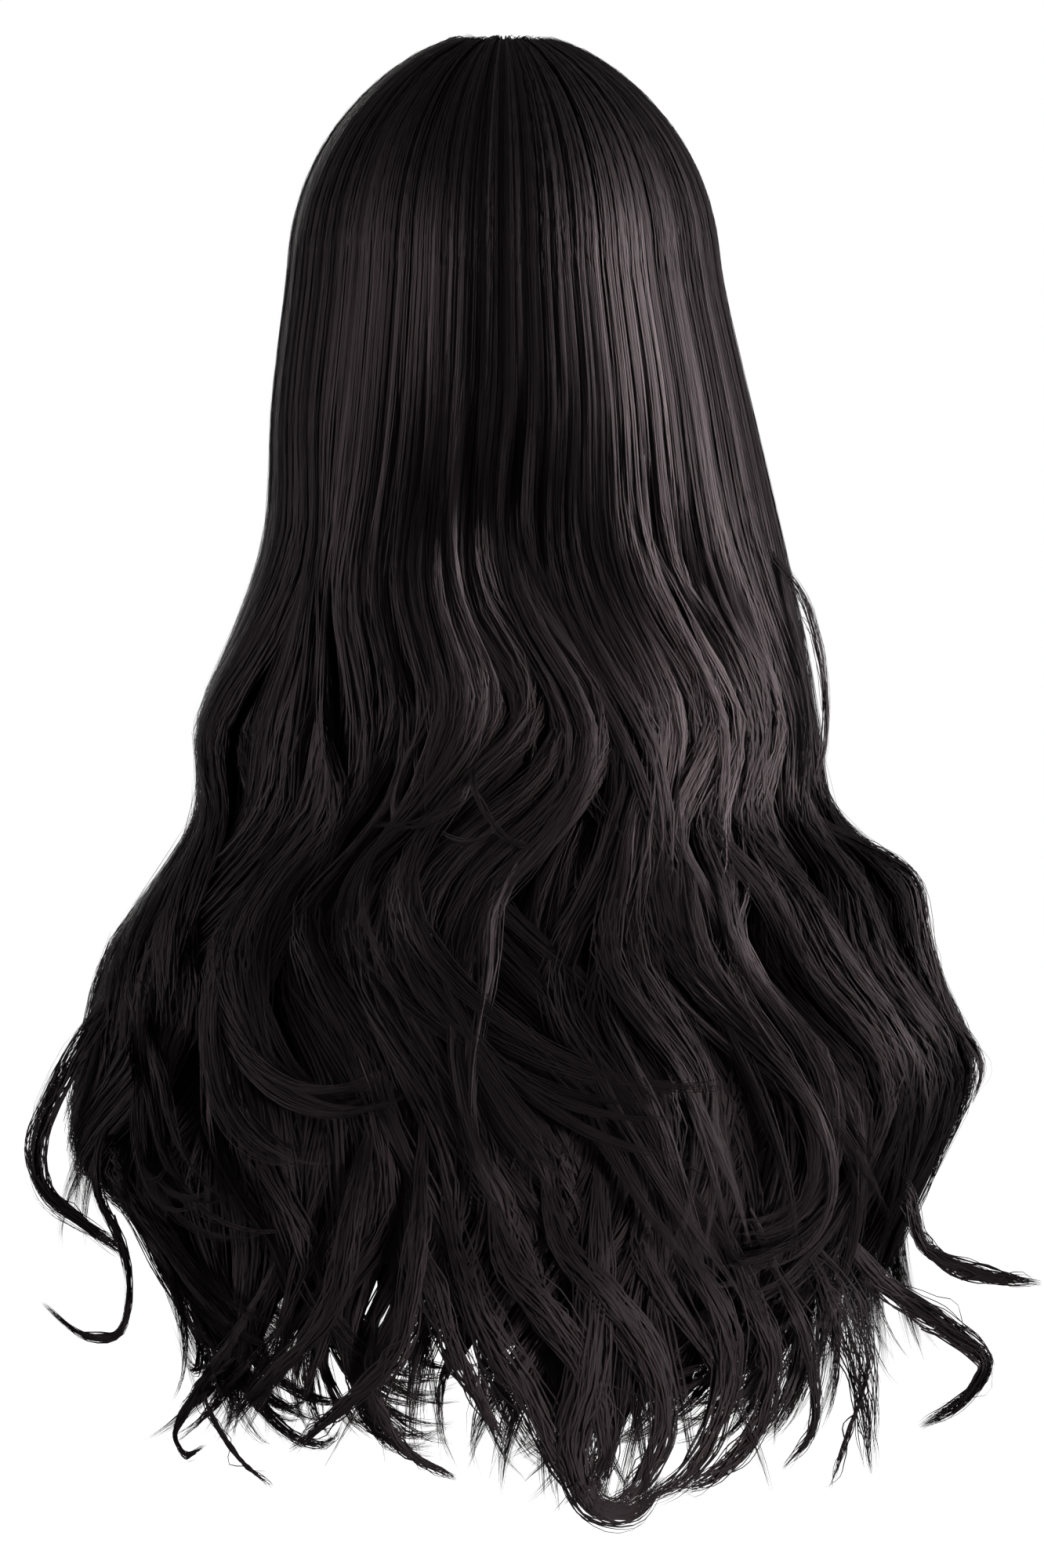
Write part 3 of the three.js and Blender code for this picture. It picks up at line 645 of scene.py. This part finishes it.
def strands_on(guides, count, stations):
    """Centre lines, outward normals and tones of strands spread over the guides."""
    guide_count = len(guides.length)
    guide = np.sort(rng.integers(0, guide_count, count))
    length, head = guides.length[guide], guides.head[guide]

    # A strand is rooted anywhere on the head's part of its guide, and ends near the guide's tip
    first = head / length * rng.uniform(0, 1, count) ** ROOTS.power * ROOTS.most
    first = np.where(head > 0, first, 0)
    last = 1 - np.abs(rng.normal(0, ENDS.uneven, count))
    short = rng.uniform(0, 1, count) < ENDS.short
    last = np.where(short, rng.uniform(*ENDS.short_ends, count), last)
    share = spaced_shares(guides, guide, first, last, stations)

    def read(column):
        return read_guides(getattr(guides, column), guide, share)

    points = read("points")
    tangent = unit(np.gradient(points, axis=1))
    normals = square_to(unit(read("normals")), tangent)
    side = np.cross(tangent, normals)
    low = ease(-points[..., 2], *STRAND_BETWEEN)

    # Place across the guide, drawn into a few thin groups lower down, and place through it
    group = rng.integers(0, GROUPS, count)
    even = rng.normal(0, PLACE.uneven, count)
    even = np.clip(even, -PLACE.most, PLACE.most)
    grouped = (group + 0.5) / GROUPS * 2 - 1 + rng.normal(0, PLACE.in_group, count)
    place = lerp(even[:, None], grouped[:, None], PLACE.grouped * low)
    layer = np.sqrt(np.clip(1 - even**2, 0, 1)) * rng.uniform(*PLACE.through, count)
    rising = lerp(*STRAND_ROOT.shares, ease(first, *STRAND_ROOT.between))
    risen = ease(share, first[:, None], first[:, None] + rising[:, None])

    # Slow wander that the strands of a group share, and fine wander of each strand
    groups, key = guide_count * GROUPS, guide * GROUPS + group
    single = np.arange(count)
    slow = sum(waves_along(share, waves, groups, key) / waves for waves in SLOW.waves)
    fine = sum(waves_along(share, waves, count, single) * FINE.gain / waves for waves in FINE.waves)
    is_stray = rng.uniform(0, 1, count) < STRAYS.share
    stray = np.where(is_stray, rng.uniform(*STRAYS.gain, count), 1)[:, None]
    loose = read("loose")
    slow = slow * lerp(*SLOW.sizes, low) * loose
    fine = fine * lerp(*FINE.sizes, low) * stray * lerp(FINE.held, 1, loose)
    aside = place * read("wide") + slow[0] + fine[0]
    out = layer[:, None] * read("thick") * risen - STRAND_ROOT.depth * (1 - risen)
    out = out + WANDER_OUT * slow[1] + WANDER_OUT * fine[1]
    points = points + aside[..., None] * side + out[..., None] * normals

    # The normals lean from one guide to the next
    beside = np.clip(guide + np.sign(even).astype(int), 0, guide_count - 1)
    next_tilt = read_guides(guides.tilt, beside, share)
    to_next = STRAND_LEAN.to_next * np.minimum(np.abs(even), 1)[:, None]
    tilt = lerp(*STRAND_LEAN.sizes, low) * place + lerp(read("tilt"), next_tilt, to_next)
    normals = unit(normals + tilt[..., None] * side + read("pitch")[..., None] * tangent)
    tones = STRAND_TONE.guide * guides.tone[guide]
    tones = tones + STRAND_TONE.strand * rng.uniform(0, 1, count)
    return kept_inside(points), normals, tones


def kept_inside(points):
    """Points drawn softly inside the CAD box with a margin all round."""
    low, high = (np.array(corner) / MM for corner in cad_box)
    low = low - BOX_MARGIN + BOX_SOFT
    high = high + BOX_MARGIN - BOX_SOFT
    over = high + BOX_SOFT * np.tanh((points - high) / BOX_SOFT)
    points = np.where(points > high, over, points)
    under = low - BOX_SOFT * np.tanh((low - points) / BOX_SOFT)
    return np.where(points < low, under, points)


# Meshes. Random starts keep the texture of one ribbon from showing again in the next.
TEXTURE_START = Sizes(across=50, along=9)


def quad_mesh(name, vertices, faces, uv):
    """A smooth mesh of four-sided faces, from points in mm and a place in the texture for each."""
    mesh = bpy.data.meshes.new(name)
    mesh.vertices.add(vertices.size // 3)
    mesh.vertices.foreach_set("co", (vertices * MM).astype(np.float32).ravel())
    mesh.loops.add(faces.size)
    mesh.loops.foreach_set("vertex_index", faces.astype(np.int32).ravel())
    mesh.polygons.add(len(faces))
    mesh.polygons.foreach_set("loop_start", np.arange(0, faces.size, 4, dtype=np.int32))
    mesh.polygons.foreach_set("use_smooth", np.ones(len(faces), bool))
    layer = mesh.uv_layers.new(name="strand")
    at_corners = uv.reshape(-1, 2)[faces.ravel()]
    layer.data.foreach_set("uv", at_corners.astype(np.float32).ravel())
    mesh.update(calc_edges=True)
    return mesh


def ribbon_mesh(name, points, normals, tones, width, roll, bend, grain):
    """One mesh of ribbons along the centre lines, with normals that bend as on a round strand.

    The grain is the width in mm of one unit of the texture across a ribbon, or None for its whole width.
    """
    count, stations = points.shape[:2]
    tangent = unit(np.gradient(points, axis=1))
    normal = square_to(normals, tangent)
    side = np.cross(tangent, normal)
    side = side * np.cos(roll)[:, None, None] + normal * np.sin(roll)[:, None, None]
    half = (width / 2)[..., None] * side
    vertices = np.stack([points - half, points + half], 2)
    first = (np.arange(count)[:, None] * stations + np.arange(stations - 1)[None]) * 2
    faces = np.stack([first, first + 1, first + 3, first + 2], -1).reshape(-1, 4)

    run = run_along(points) * MM + rng.uniform(0, TEXTURE_START.along, (count, 1))
    far = np.ones((count, 1)) if grain is None else width.max(1, keepdims=True) / grain
    u = np.stack(np.broadcast_arrays(0 * far, far), -1) * np.ones((1, stations, 1))
    u = u + rng.uniform(0, TEXTURE_START.across, (count, 1, 1))
    v = np.broadcast_to(run[..., None], (count, stations, 2))
    mesh = quad_mesh(name, vertices, faces, np.stack([u, v], -1))

    tone = mesh.attributes.new("tone", "FLOAT", "POINT")
    tone.data.foreach_set("value", np.repeat(tones, stations * 2).astype(np.float32))
    shading = unit(normals)
    bend = np.radians(np.broadcast_to(bend, (count, stations)))[..., None]
    level, lean = shading * np.cos(bend), side * np.sin(bend)
    rounded = np.stack([level - lean, level + lean], 2)
    mesh.normals_split_custom_set_from_vertices(rounded.reshape(-1, 3).astype(np.float32))
    mesh.validate(clean_customdata=False)
    return mesh


def strand_mesh(name, guides, count, stations, width):
    """Strands spread over the guides, wider where fewer lie over each other, and pointed."""
    points, normals, tones = strands_on(guides, count, stations)
    lower = ease(-points[..., 2], *STRAND_WIDTH.between)
    to_point = np.clip(np.linspace(POINT.start, 1, stations), 0, 1)[None]
    point = 1 - POINT.thinned * to_point ** POINT.power
    wide = rng.uniform(*STRAND_WIDTH.uneven, (count, 1)) * width
    wide = wide * lerp(1, STRAND_WIDTH.lower, lower) * point
    roll = rng.normal(0, math.radians(STRAND_ROLL), count)
    return ribbon_mesh(name, points, normals, tones, wide, roll, STRAND_ROUND, None)


# Cards: wide ribbons below the strands. Starts, ends and roots are shares of a guide's length.
CARD = Sizes(stations=56, starts=(0, 0.01), end=0.93, end_taper=0.25, grain=2.2)
CARD_SUNK = Sizes(thickness=0.35, root=1.5, root_end=0.08)
CARD_WIDTH = Sizes(sizes=(1.5, 0.62), root=0.25, root_end=0.035)
CARD_ROUND = (4, 16)
CARD_BETWEEN = (180, 420)


def card_mesh(name, guides):
    """A wide ribbon along each guide, below its strands, so that the hair is dense."""
    count = len(guides.length)
    starts = rng.uniform(*CARD.starts, (count, 1))
    share = lerp(starts, CARD.end, np.linspace(0, 1, CARD.stations)[None])

    def read(column):
        return read_guides(getattr(guides, column), np.arange(count), share)

    points = read("points")
    tangent = unit(np.gradient(points, axis=1))
    normals = square_to(read("normals"), tangent)
    sunk = CARD_SUNK.thickness * read("thick")
    sunk = sunk + CARD_SUNK.root * (1 - ease(share, 0, CARD_SUNK.root_end))
    points = points - sunk[..., None] * normals
    side = np.cross(tangent, normals)
    normals = unit(normals + read("tilt")[..., None] * side + read("pitch")[..., None] * tangent)
    low = ease(-points[..., 2], *CARD_BETWEEN)
    root = lerp(CARD_WIDTH.root, 1, ease(share, 0, CARD_WIDTH.root_end))
    end = 1 - ease(share, CARD.end - CARD.end_taper, CARD.end)
    wide = 2 * read("wide")
    wide = wide * lerp(*CARD_WIDTH.sizes, low) * (root * end)
    bend = lerp(*CARD_ROUND, low)
    return ribbon_mesh(name, points, normals, guides.tone, wide, np.zeros(count), bend, CARD.grain)


# Walls inside four panels: first station, mm from the lower edge of the hair up to the wall's edge at
# the left and from the middle to the right, and depth
WALLS = named_rows(
    "first left_edge right_edge depth",
    back_hair=(1.0, 85, 60, 0.8),
    nape_hair=(fall_of(-135), 62, 52, 1.0),
    left_front_hair=(0.06, 120, 120, 0.3),
    right_front_hair=(0.06, 130, 130, 0.3),
)
WALL_COLUMNS, WALL_ROWS = 240, 16
WALL_MARGIN = 0.5
WALL_DEPTH = Sizes(most=0.06, taper=5)
WALL_EDGE = Sizes(level=-600, to_right=(-40, 10), size=9, noise=1.4, window=13, fine=4)
WALL_SWING = Sizes(share=0.6, uneven=1)
WALL_GRAIN = 12.0


def wall_mesh(name, panel, wall):
    """A thin double wall inside a panel, with a ragged lower edge, that closes the view through it."""
    low, high = panel.span
    bearing = np.radians(np.linspace(low + WALL_MARGIN, high - WALL_MARGIN, WALL_COLUMNS))
    window = WALL_EDGE.window
    noise = rng.normal(0, WALL_EDGE.noise, WALL_COLUMNS + window - 1)
    ragged = WALL_EDGE.size * np.convolve(noise, np.full(window, window**-0.5), "valid")
    ragged = ragged + WALL_EDGE.fine * rng.uniform(-1, 1, WALL_COLUMNS)
    x = np.sin(bearing) * OUTLINE.at(WALL_EDGE.level, "right")
    edge = lerp(wall.left_edge, wall.right_edge, ease(x, *WALL_EDGE.to_right))
    end = fall_of(LOWEST.at(x, "z") + edge + ragged)
    way = np.linspace(0, 1, WALL_ROWS)[:, None]
    station = lerp(wall.first, end[None], way)
    z = np.minimum(height_of(station), -HEAD_HEIGHT)
    thin = WALL_DEPTH.most * np.minimum(1, (1 - way) * WALL_DEPTH.taper)
    turned = np.stack([bearing] * WALL_ROWS)
    phase = wave_phase(turned, z)
    swing = WAVE_SIZE.at(z, "sideways") * np.sin(phase) / arc_radius(turned, z)
    turned = turned + np.where(station > 1, swing, 0)
    out = WALL_SWING.share * WAVE_SIZE.at(z, "outward") * np.abs(np.cos(turned)) * np.cos(phase)
    out = out + rng.uniform(-WALL_SWING.uneven, WALL_SWING.uneven, WALL_COLUMNS)[None]
    outer = hair_point(turned, station, wall.depth - thin, out)
    inner = hair_point(turned, station, wall.depth + thin, out)
    ring = np.concatenate([outer, inner[:, ::-1]], 1)
    sides = 2 * WALL_COLUMNS
    row = np.arange(WALL_ROWS - 1)[:, None] * sides
    i = np.arange(sides)[None]
    j = (i + 1) % sides
    faces = np.stack([row + i, row + sides + i, row + sides + j, row + j], -1).reshape(-1, 4)
    u = np.concatenate([np.arange(WALL_COLUMNS), np.arange(WALL_COLUMNS)[::-1]]) * WALL_GRAIN
    v = np.concatenate([-z, -z[:, ::-1]], 1) * MM
    mesh = quad_mesh(name, ring, faces, np.stack([np.broadcast_to(u, v.shape), v], -1))
    mesh.validate(clean_customdata=False)
    return mesh


# Single locks that stand out in the photograph: half width, lift off the hair, strands, and the
# path as x and z in millimetres from root to tip
LOOSE_LOCKS = named_rows(
    "half_width lift strands path",
    left_outer_curl=(9, 2, 97, [
        (-150, -370), (-169, -393), (-191, -438), (-205, -472), (-201, -493), (-180, -510), (-164, -521),
    ]),
    left_hook=(4, 3, 60, [
        (-160, -400), (-181, -466), (-178, -493), (-167, -517), (-164, -537), (-169, -555), (-183, -556),
        (-203, -541),
    ]),
    left_loop=(3, 4, 45, [
        (-108, -520), (-124, -562), (-136, -583), (-144, -599), (-139, -608), (-130, -603),
    ]),
    left_thin=(2, 4, 15, [(-125, -560), (-133, -577), (-119, -606), (-101, -623)]),
    low_left_sweep=(7, 3, 60, [(-58, -450), (-66, -500), (-75, -542), (-98, -571), (-124, -597)]),
    low_left_sweep_2=(6, 3, 52, [(-36, -450), (-38, -510), (-46, -562), (-75, -591), (-95, -606)]),
    low_left_flick=(5, 4, 37, [(-62, -545), (-57, -583), (-43, -606), (-20, -619)]),
    lowest_tuft=(12, 1, 105, [
        (44, -460), (42, -520), (36, -577), (29, -606), (39, -630), (56, -633), (71, -617),
    ]),
    tuft_middle=(13, 1, 63, [
        (14, -470), (26, -515), (48, -540), (64, -568), (69, -599), (56, -625), (42, -633),
    ]),
    tuft_middle_left=(12, 1, 56, [
        (-8, -475), (0, -520), (20, -548), (40, -582), (44, -610), (38, -630),
    ]),
    tuft_left=(11, 1, 48, [(-30, -480), (-20, -527), (-4, -562), (13, -589), (26, -616), (36, -632)]),
    tuft_far_left=(10, 1, 45, [(-46, -475), (-36, -525), (-22, -560), (-10, -586), (3, -607)]),
    tuft_right=(12, 1, 56, [(66, -475), (82, -520), (98, -555), (95, -589), (79, -617), (56, -633)]),
    tuft_far_right=(10, 1, 48, [
        (98, -490), (110, -538), (117, -568), (109, -599), (91, -617), (74, -624),
    ]),
    low_right_hook=(5, 3, 37, [(118, -500), (127, -541), (134, -568), (135, -596), (121, -615)]),
    right_flick=(7, 3, 82, [(165, -440), (177, -490), (184, -516), (202, -527), (236, -533)]),
    right_low_flick=(9, 3, 105, [
        (150, -480), (168, -531), (193, -551), (211, -568), (202, -583), (181, -597),
    ]),
    right_thin=(2, 4, 19, [(165, -540), (161, -560), (155, -586), (141, -626)]),
    right_veil=(22, 0, 36, [(136, -490), (150, -545), (158, -580), (161, -618)]),
    right_shoulder=(7, 3, 67, [
        (128, -300), (148, -330), (169, -346), (180, -358), (186, -385), (196, -415), (209, -438),
        (204, -455),
    ]),
    middle_flick=(4, -4, 13, [(-15, -285), (-12, -318), (-1, -336), (16, -344)]),
    middle_flick_left=(5, -4, 13, [(-14, -290), (-18, -318), (-36, -331), (-60, -333)]),
    right_wisps=(6, 6, 45, [(110, -180), (129, -225), (139, -263), (140, -297), (136, -318)]),
)
# A loose lock has a few guides of lesser width, rises out of the hair along its first part and tapers
# along its last. Wide ones are looser.
LOOSE_STRANDS = {"stations": 26, "width": 0.5}
LOOSE_WIDTHS = (1, 0.75, 0.5)
LOOSE_MOST_ASIDE = 0.95
LOOSE_ROOT = Sizes(end=0.4, depth=20)
LOOSE_TIP = Sizes(start=0.45, power=1.3, left=0.1)
LOOSE_SIZE = Sizes(least_width=0.12, thickness=0.4)
LOOSENESS = Sizes(least=0.4, per_mm=0.09, over=4, most=0.9)
LOOSE_TONES = (0.05, 0.6)
LOOSE_HEAD = 0.5


def smooth_path(rows, count):
    """Points at even steps of a smooth curve through the rows."""
    rows = np.array(rows, float)
    step = np.linalg.norm(np.diff(rows, axis=0), axis=-1) ** 0.5
    knots = np.concatenate([[0], step.cumsum()])
    slopes = np.gradient(rows, knots, axis=0)
    at = np.linspace(0, knots[-1], count)
    i = np.clip(np.searchsorted(knots, at) - 1, 0, len(knots) - 2)
    span = (knots[i + 1] - knots[i])[:, None]
    t = (at[:, None] - knots[i][:, None]) / span
    return curve_between(rows[i], rows[i + 1], slopes[i], slopes[i + 1], span, t)


def loose_guides(half_width, lift, path):
    """Guides along a loose lock's path, laid on the hair's outer surface as the camera sees it."""
    line = smooth_path(path, SAMPLES)
    x, z = line[:, 0], line[:, 1]
    reach = half_width_at(x, z)
    power = OUTLINE.at(z, "squareness")
    out = np.clip(np.abs(x) / reach, 0, LOOSE_MOST_ASIDE)
    back = OUTLINE.at(z, "back")
    y = -back * (1 - out**power) ** (1 / power) - lift
    normals = unit(np.stack([np.sign(x) * out ** (power - 1) / reach, y / back**2, 0 * z], -1))
    nearer = 1 + (y - PICTURE_PLANE_Y) / CAMERA_DISTANCE
    middle_x, middle_z = PICTURE_MIDDLE
    points = np.stack([lerp(middle_x, x, nearer), y, lerp(middle_z, z, nearer)], -1)
    way = np.linspace(0, 1, SAMPLES)
    risen = ease(way, 0, LOOSE_ROOT.end)
    ending = np.clip((way - LOOSE_TIP.start) / (1 - LOOSE_TIP.start), 0, 1)
    grow = risen * lerp(1, LOOSE_TIP.left, ending ** LOOSE_TIP.power)
    sunk = -LOOSE_ROOT.depth * (1 - risen)
    points = points + normals * sunk[:, None]
    length = np.linalg.norm(np.diff(points, axis=0), axis=-1).sum()
    copies = len(LOOSE_WIDTHS)
    wide = half_width * lerp(LOOSE_SIZE.least_width, 1, grow)
    thick = LOOSE_SIZE.thickness * half_width * grow
    loose = LOOSENESS.least + LOOSENESS.per_mm * max(half_width - LOOSENESS.over, 0)
    level = np.zeros((copies, SAMPLES))
    return Sizes(
        points=np.stack([points] * copies),
        normals=np.stack([normals] * copies),
        wide=np.outer(LOOSE_WIDTHS, wide),
        thick=np.stack([thick] * copies),
        loose=np.full((copies, SAMPLES), min(loose, LOOSENESS.most)),
        tilt=level,
        pitch=level,
        tone=rng.uniform(*LOOSE_TONES, copies),
        length=np.full(copies, length),
        head=np.full(copies, LOOSE_HEAD * length),
    )


# Materials
WHITE = (1, 1, 1, 1)
HAIR_DARK = (0.0035, 0.0028, 0.0031, 1)
HAIR_USUAL = (0.008, 0.0064, 0.0068, 1)
HAIR_LIGHT = (0.018, 0.0138, 0.0142, 1)
HAIR_SHEEN = (1.0, 0.77, 0.83, 1)
USUAL_TONE = 0.85
STREAK_TONE = 0.25
NET_THREAD = (0.02, 0.018, 0.019, 1)
NET_HOLE = (0.006, 0.005, 0.006, 1)
BASE_DARK = (0.42, 0.3, 0.23, 1)
BASE_LIGHT = (0.6, 0.46, 0.37, 1)
FLOOR_GREY = (0.9, 0.9, 0.9, 1)


def set_inputs(made, values):
    for key, value in values.items():
        made.inputs[key].default_value = value


def node(tree, kind, inputs=None, **settings):
    made = tree.nodes.new("ShaderNode" + kind)
    for key, value in settings.items():
        setattr(made, key, value)
    set_inputs(made, inputs or {})
    return made


def join(source, output, target, socket):
    source.id_data.links.new(source.outputs[output], target.inputs[socket])


def new_material(name):
    material = bpy.data.materials.new(name)
    material.use_nodes = True
    tree = material.node_tree
    tree.nodes.clear()
    output = node(tree, "OutputMaterial")
    shader = node(tree, "BsdfPrincipled")
    join(shader, "BSDF", output, "Surface")
    return material, tree, shader


def hair_material():
    """Near-black fibre: lighter and glossier with the strand's tone, and finely streaked along it."""
    material, tree, shader = new_material("hair_fibre")
    tone = node(tree, "Attribute", attribute_name="tone")
    ramp = node(tree, "ValToRGB")
    ramp.color_ramp.elements[0].color = HAIR_DARK
    ramp.color_ramp.elements[1].position = USUAL_TONE
    ramp.color_ramp.elements[1].color = HAIR_USUAL
    ramp.color_ramp.elements.new(1.0).color = HAIR_LIGHT
    join(tone, "Fac", ramp, "Fac")
    join(ramp, "Color", shader, "Base Color")
    uv = node(tree, "UVMap", uv_map="strand")
    stretch = node(tree, "Mapping", {"Scale": (5.0, 14.0, 1.0)})
    streak = node(tree, "TexNoise", {"Scale": 1.0, "Detail": 2.0})
    join(uv, "UV", stretch, "Vector")
    join(stretch, "Vector", streak, "Vector")
    bump = node(tree, "Bump", {"Strength": 0.15, "Distance": 0.0004})
    join(streak, "Fac", bump, "Height")
    join(bump, "Normal", shader, "Normal")
    mixed = node(tree, "Math", {1: STREAK_TONE}, operation="MULTIPLY_ADD")
    join(streak, "Fac", mixed, 0)
    join(tone, "Fac", mixed, 2)
    gloss = node(tree, "MapRange", {"From Max": 1 + STREAK_TONE, "To Min": 0.7, "To Max": 0.45})
    join(mixed, "Value", gloss, "Value")
    join(gloss, "Result", shader, "Roughness")
    set_inputs(shader, {"Specular IOR Level": 0.4, "Specular Tint": HAIR_SHEEN})
    return material


def cap_material():
    """Matt black stretch net."""
    material, tree, shader = new_material("cap_net")
    place = node(tree, "TexCoord")
    net = node(tree, "TexVoronoi", {"Scale": 600}, feature="DISTANCE_TO_EDGE")
    join(place, "Object", net, "Vector")
    shade = node(tree, "MapRange", {"From Max": 0.25})
    join(net, "Distance", shade, "Value")
    mix = node(tree, "Mix", {"A": NET_THREAD, "B": NET_HOLE}, data_type="RGBA")
    join(shade, "Result", mix, "Factor")
    join(mix, "Result", shader, "Base Color")
    bump = node(tree, "Bump", {"Strength": 0.5, "Distance": 0.0005}, invert=True)
    join(shade, "Result", bump, "Height")
    join(bump, "Normal", shader, "Normal")
    set_inputs(shader, {"Roughness": 0.85})
    return material


def parting_material():
    """Matt, slightly mottled base of the parting."""
    material, tree, shader = new_material("parting_base")
    place = node(tree, "TexCoord")
    mottle = node(tree, "TexNoise", {"Scale": 350, "Detail": 4})
    join(place, "Object", mottle, "Vector")
    mix = node(tree, "Mix", {"A": BASE_DARK, "B": BASE_LIGHT}, data_type="RGBA")
    join(mottle, "Fac", mix, "Factor")
    join(mix, "Result", shader, "Base Color")
    set_inputs(shader, {"Roughness": 0.6})
    return material


# The pieces of hair, each in place of a CAD node
hair = hair_material()


def add_piece(name, mesh, replaced):
    piece = bpy.data.objects.new(name, mesh)
    bpy.context.collection.objects.link(piece)
    mesh.materials.append(hair)
    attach(piece, "root")
    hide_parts(replaced)


for panel_name, panel in PANELS.items():
    guides = guide_paths(panel)
    if panel_name in WALLS:
        name = panel_name + "_base"
        add_piece(name, wall_mesh(name, panel, WALLS[panel_name]), panel_name)
    name = panel_name + "_cards"
    add_piece(name, card_mesh(name, guides), panel_name)
    count = panel.strands // panel.pieces
    for number in range(panel.pieces):
        name = f"{panel_name}_strands_{number + 1}"
        mesh = strand_mesh(name, guides, count, panel.stations, panel.strand_width)
        add_piece(name, mesh, panel_name)

for name, lock in LOOSE_LOCKS.items():
    guides = loose_guides(lock.half_width, lock.lift, lock.path)
    mesh = strand_mesh(name, guides, lock.strands, **LOOSE_STRANDS)
    add_piece("lock_" + name, mesh, "crown_hair")


# The cap and the parting keep their CAD solids.
def repaint(name, material):
    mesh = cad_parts[name].data
    mesh.materials.clear()
    mesh.materials.append(material)


repaint("wig_cap", cap_material())
repaint("parting_strip", parting_material())

# Stage, light and camera, in metres, watts and degrees
LIGHTS = named_rows(
    "place target size watts spread",
    key=((2.41, -0.36, 0.2), (0, 0, -0.15), 0.7, 2.5, 21),
    fill=((-2.3, -0.9, 0.1), (0, 0, -0.14), 0.8, 0.95, 24),
    low=((1.0, -2.3, -0.7), (0.03, -0.1, -0.7), 0.4, 0.45, 10),
    middle=((1.7, -1.8, -0.2), (0.08, -0.1, -0.3), 0.1, 0.045, 5),
    front=((-0.5, 2.5, 0.2), (0, 0, -0.25), 1.0, 1.7, 40),
)
WORLD_LIGHT = 0.09
FLOOR_DROP = 0.05
FLOOR_HALF = 14

camera_data = bpy.data.cameras.new("camera")
camera_data.lens = LENS
camera_data.sensor_width = SENSOR
camera = bpy.data.objects.new("camera", camera_data)
camera.location = (
    PICTURE_MIDDLE[0] * MM,
    (PICTURE_PLANE_Y - CAMERA_DISTANCE) * MM,
    PICTURE_MIDDLE[1] * MM,
)
camera.rotation_euler = (math.pi / 2, 0, 0)
bpy.context.collection.objects.link(camera)
bpy.context.scene.camera = camera


def area_light(name, place, target, size, watts, spread):
    data = bpy.data.lights.new(name, "AREA")
    data.energy = watts
    data.shape = "DISK"
    data.size = size
    data.spread = math.radians(spread)
    light = bpy.data.objects.new(name, data)
    light.location = place
    light.rotation_euler = (Vector(target) - Vector(place)).to_track_quat("-Z", "Y").to_euler()
    light.visible_camera = False
    bpy.context.collection.objects.link(light)


for name, light in LIGHTS.items():
    area_light(name, **vars(light))

floor_z = cad_box[0].z - FLOOR_DROP
corners = [(-1, -1), (1, -1), (1, 1), (-1, 1)]
floor_mesh = bpy.data.meshes.new("floor")
floor_mesh.from_pydata([(FLOOR_HALF * x, FLOOR_HALF * y, floor_z) for x, y in corners], [], [(0, 1, 2, 3)])
floor = bpy.data.objects.new("floor", floor_mesh)
bpy.context.collection.objects.link(floor)
pale, _, pale_shader = new_material("pale_floor")
set_inputs(pale_shader, {"Base Color": FLOOR_GREY, "Roughness": 0.8})
set_inputs(pale_shader, {"Emission Color": WHITE, "Emission Strength": 1})
floor_mesh.materials.append(pale)
floor.visible_diffuse = False
floor.visible_glossy = False

# The camera sees a white background, and the hair gets a little light from it.
world = bpy.data.worlds.new("studio")
bpy.context.scene.world = world
world.use_nodes = True
tree = world.node_tree
tree.nodes.clear()
sky_out = node(tree, "OutputWorld")
seen = node(tree, "Background", {"Color": WHITE})
lit = node(tree, "Background", {"Color": WHITE, "Strength": WORLD_LIGHT})
light_path = node(tree, "LightPath")
choose = node(tree, "MixShader")
join(light_path, "Is Camera Ray", choose, "Fac")
join(lit, "Background", choose, 1)
join(seen, "Background", choose, 2)
join(choose, "Shader", sky_out, "Surface")
bpy.context.scene.view_settings.view_transform = "Standard"
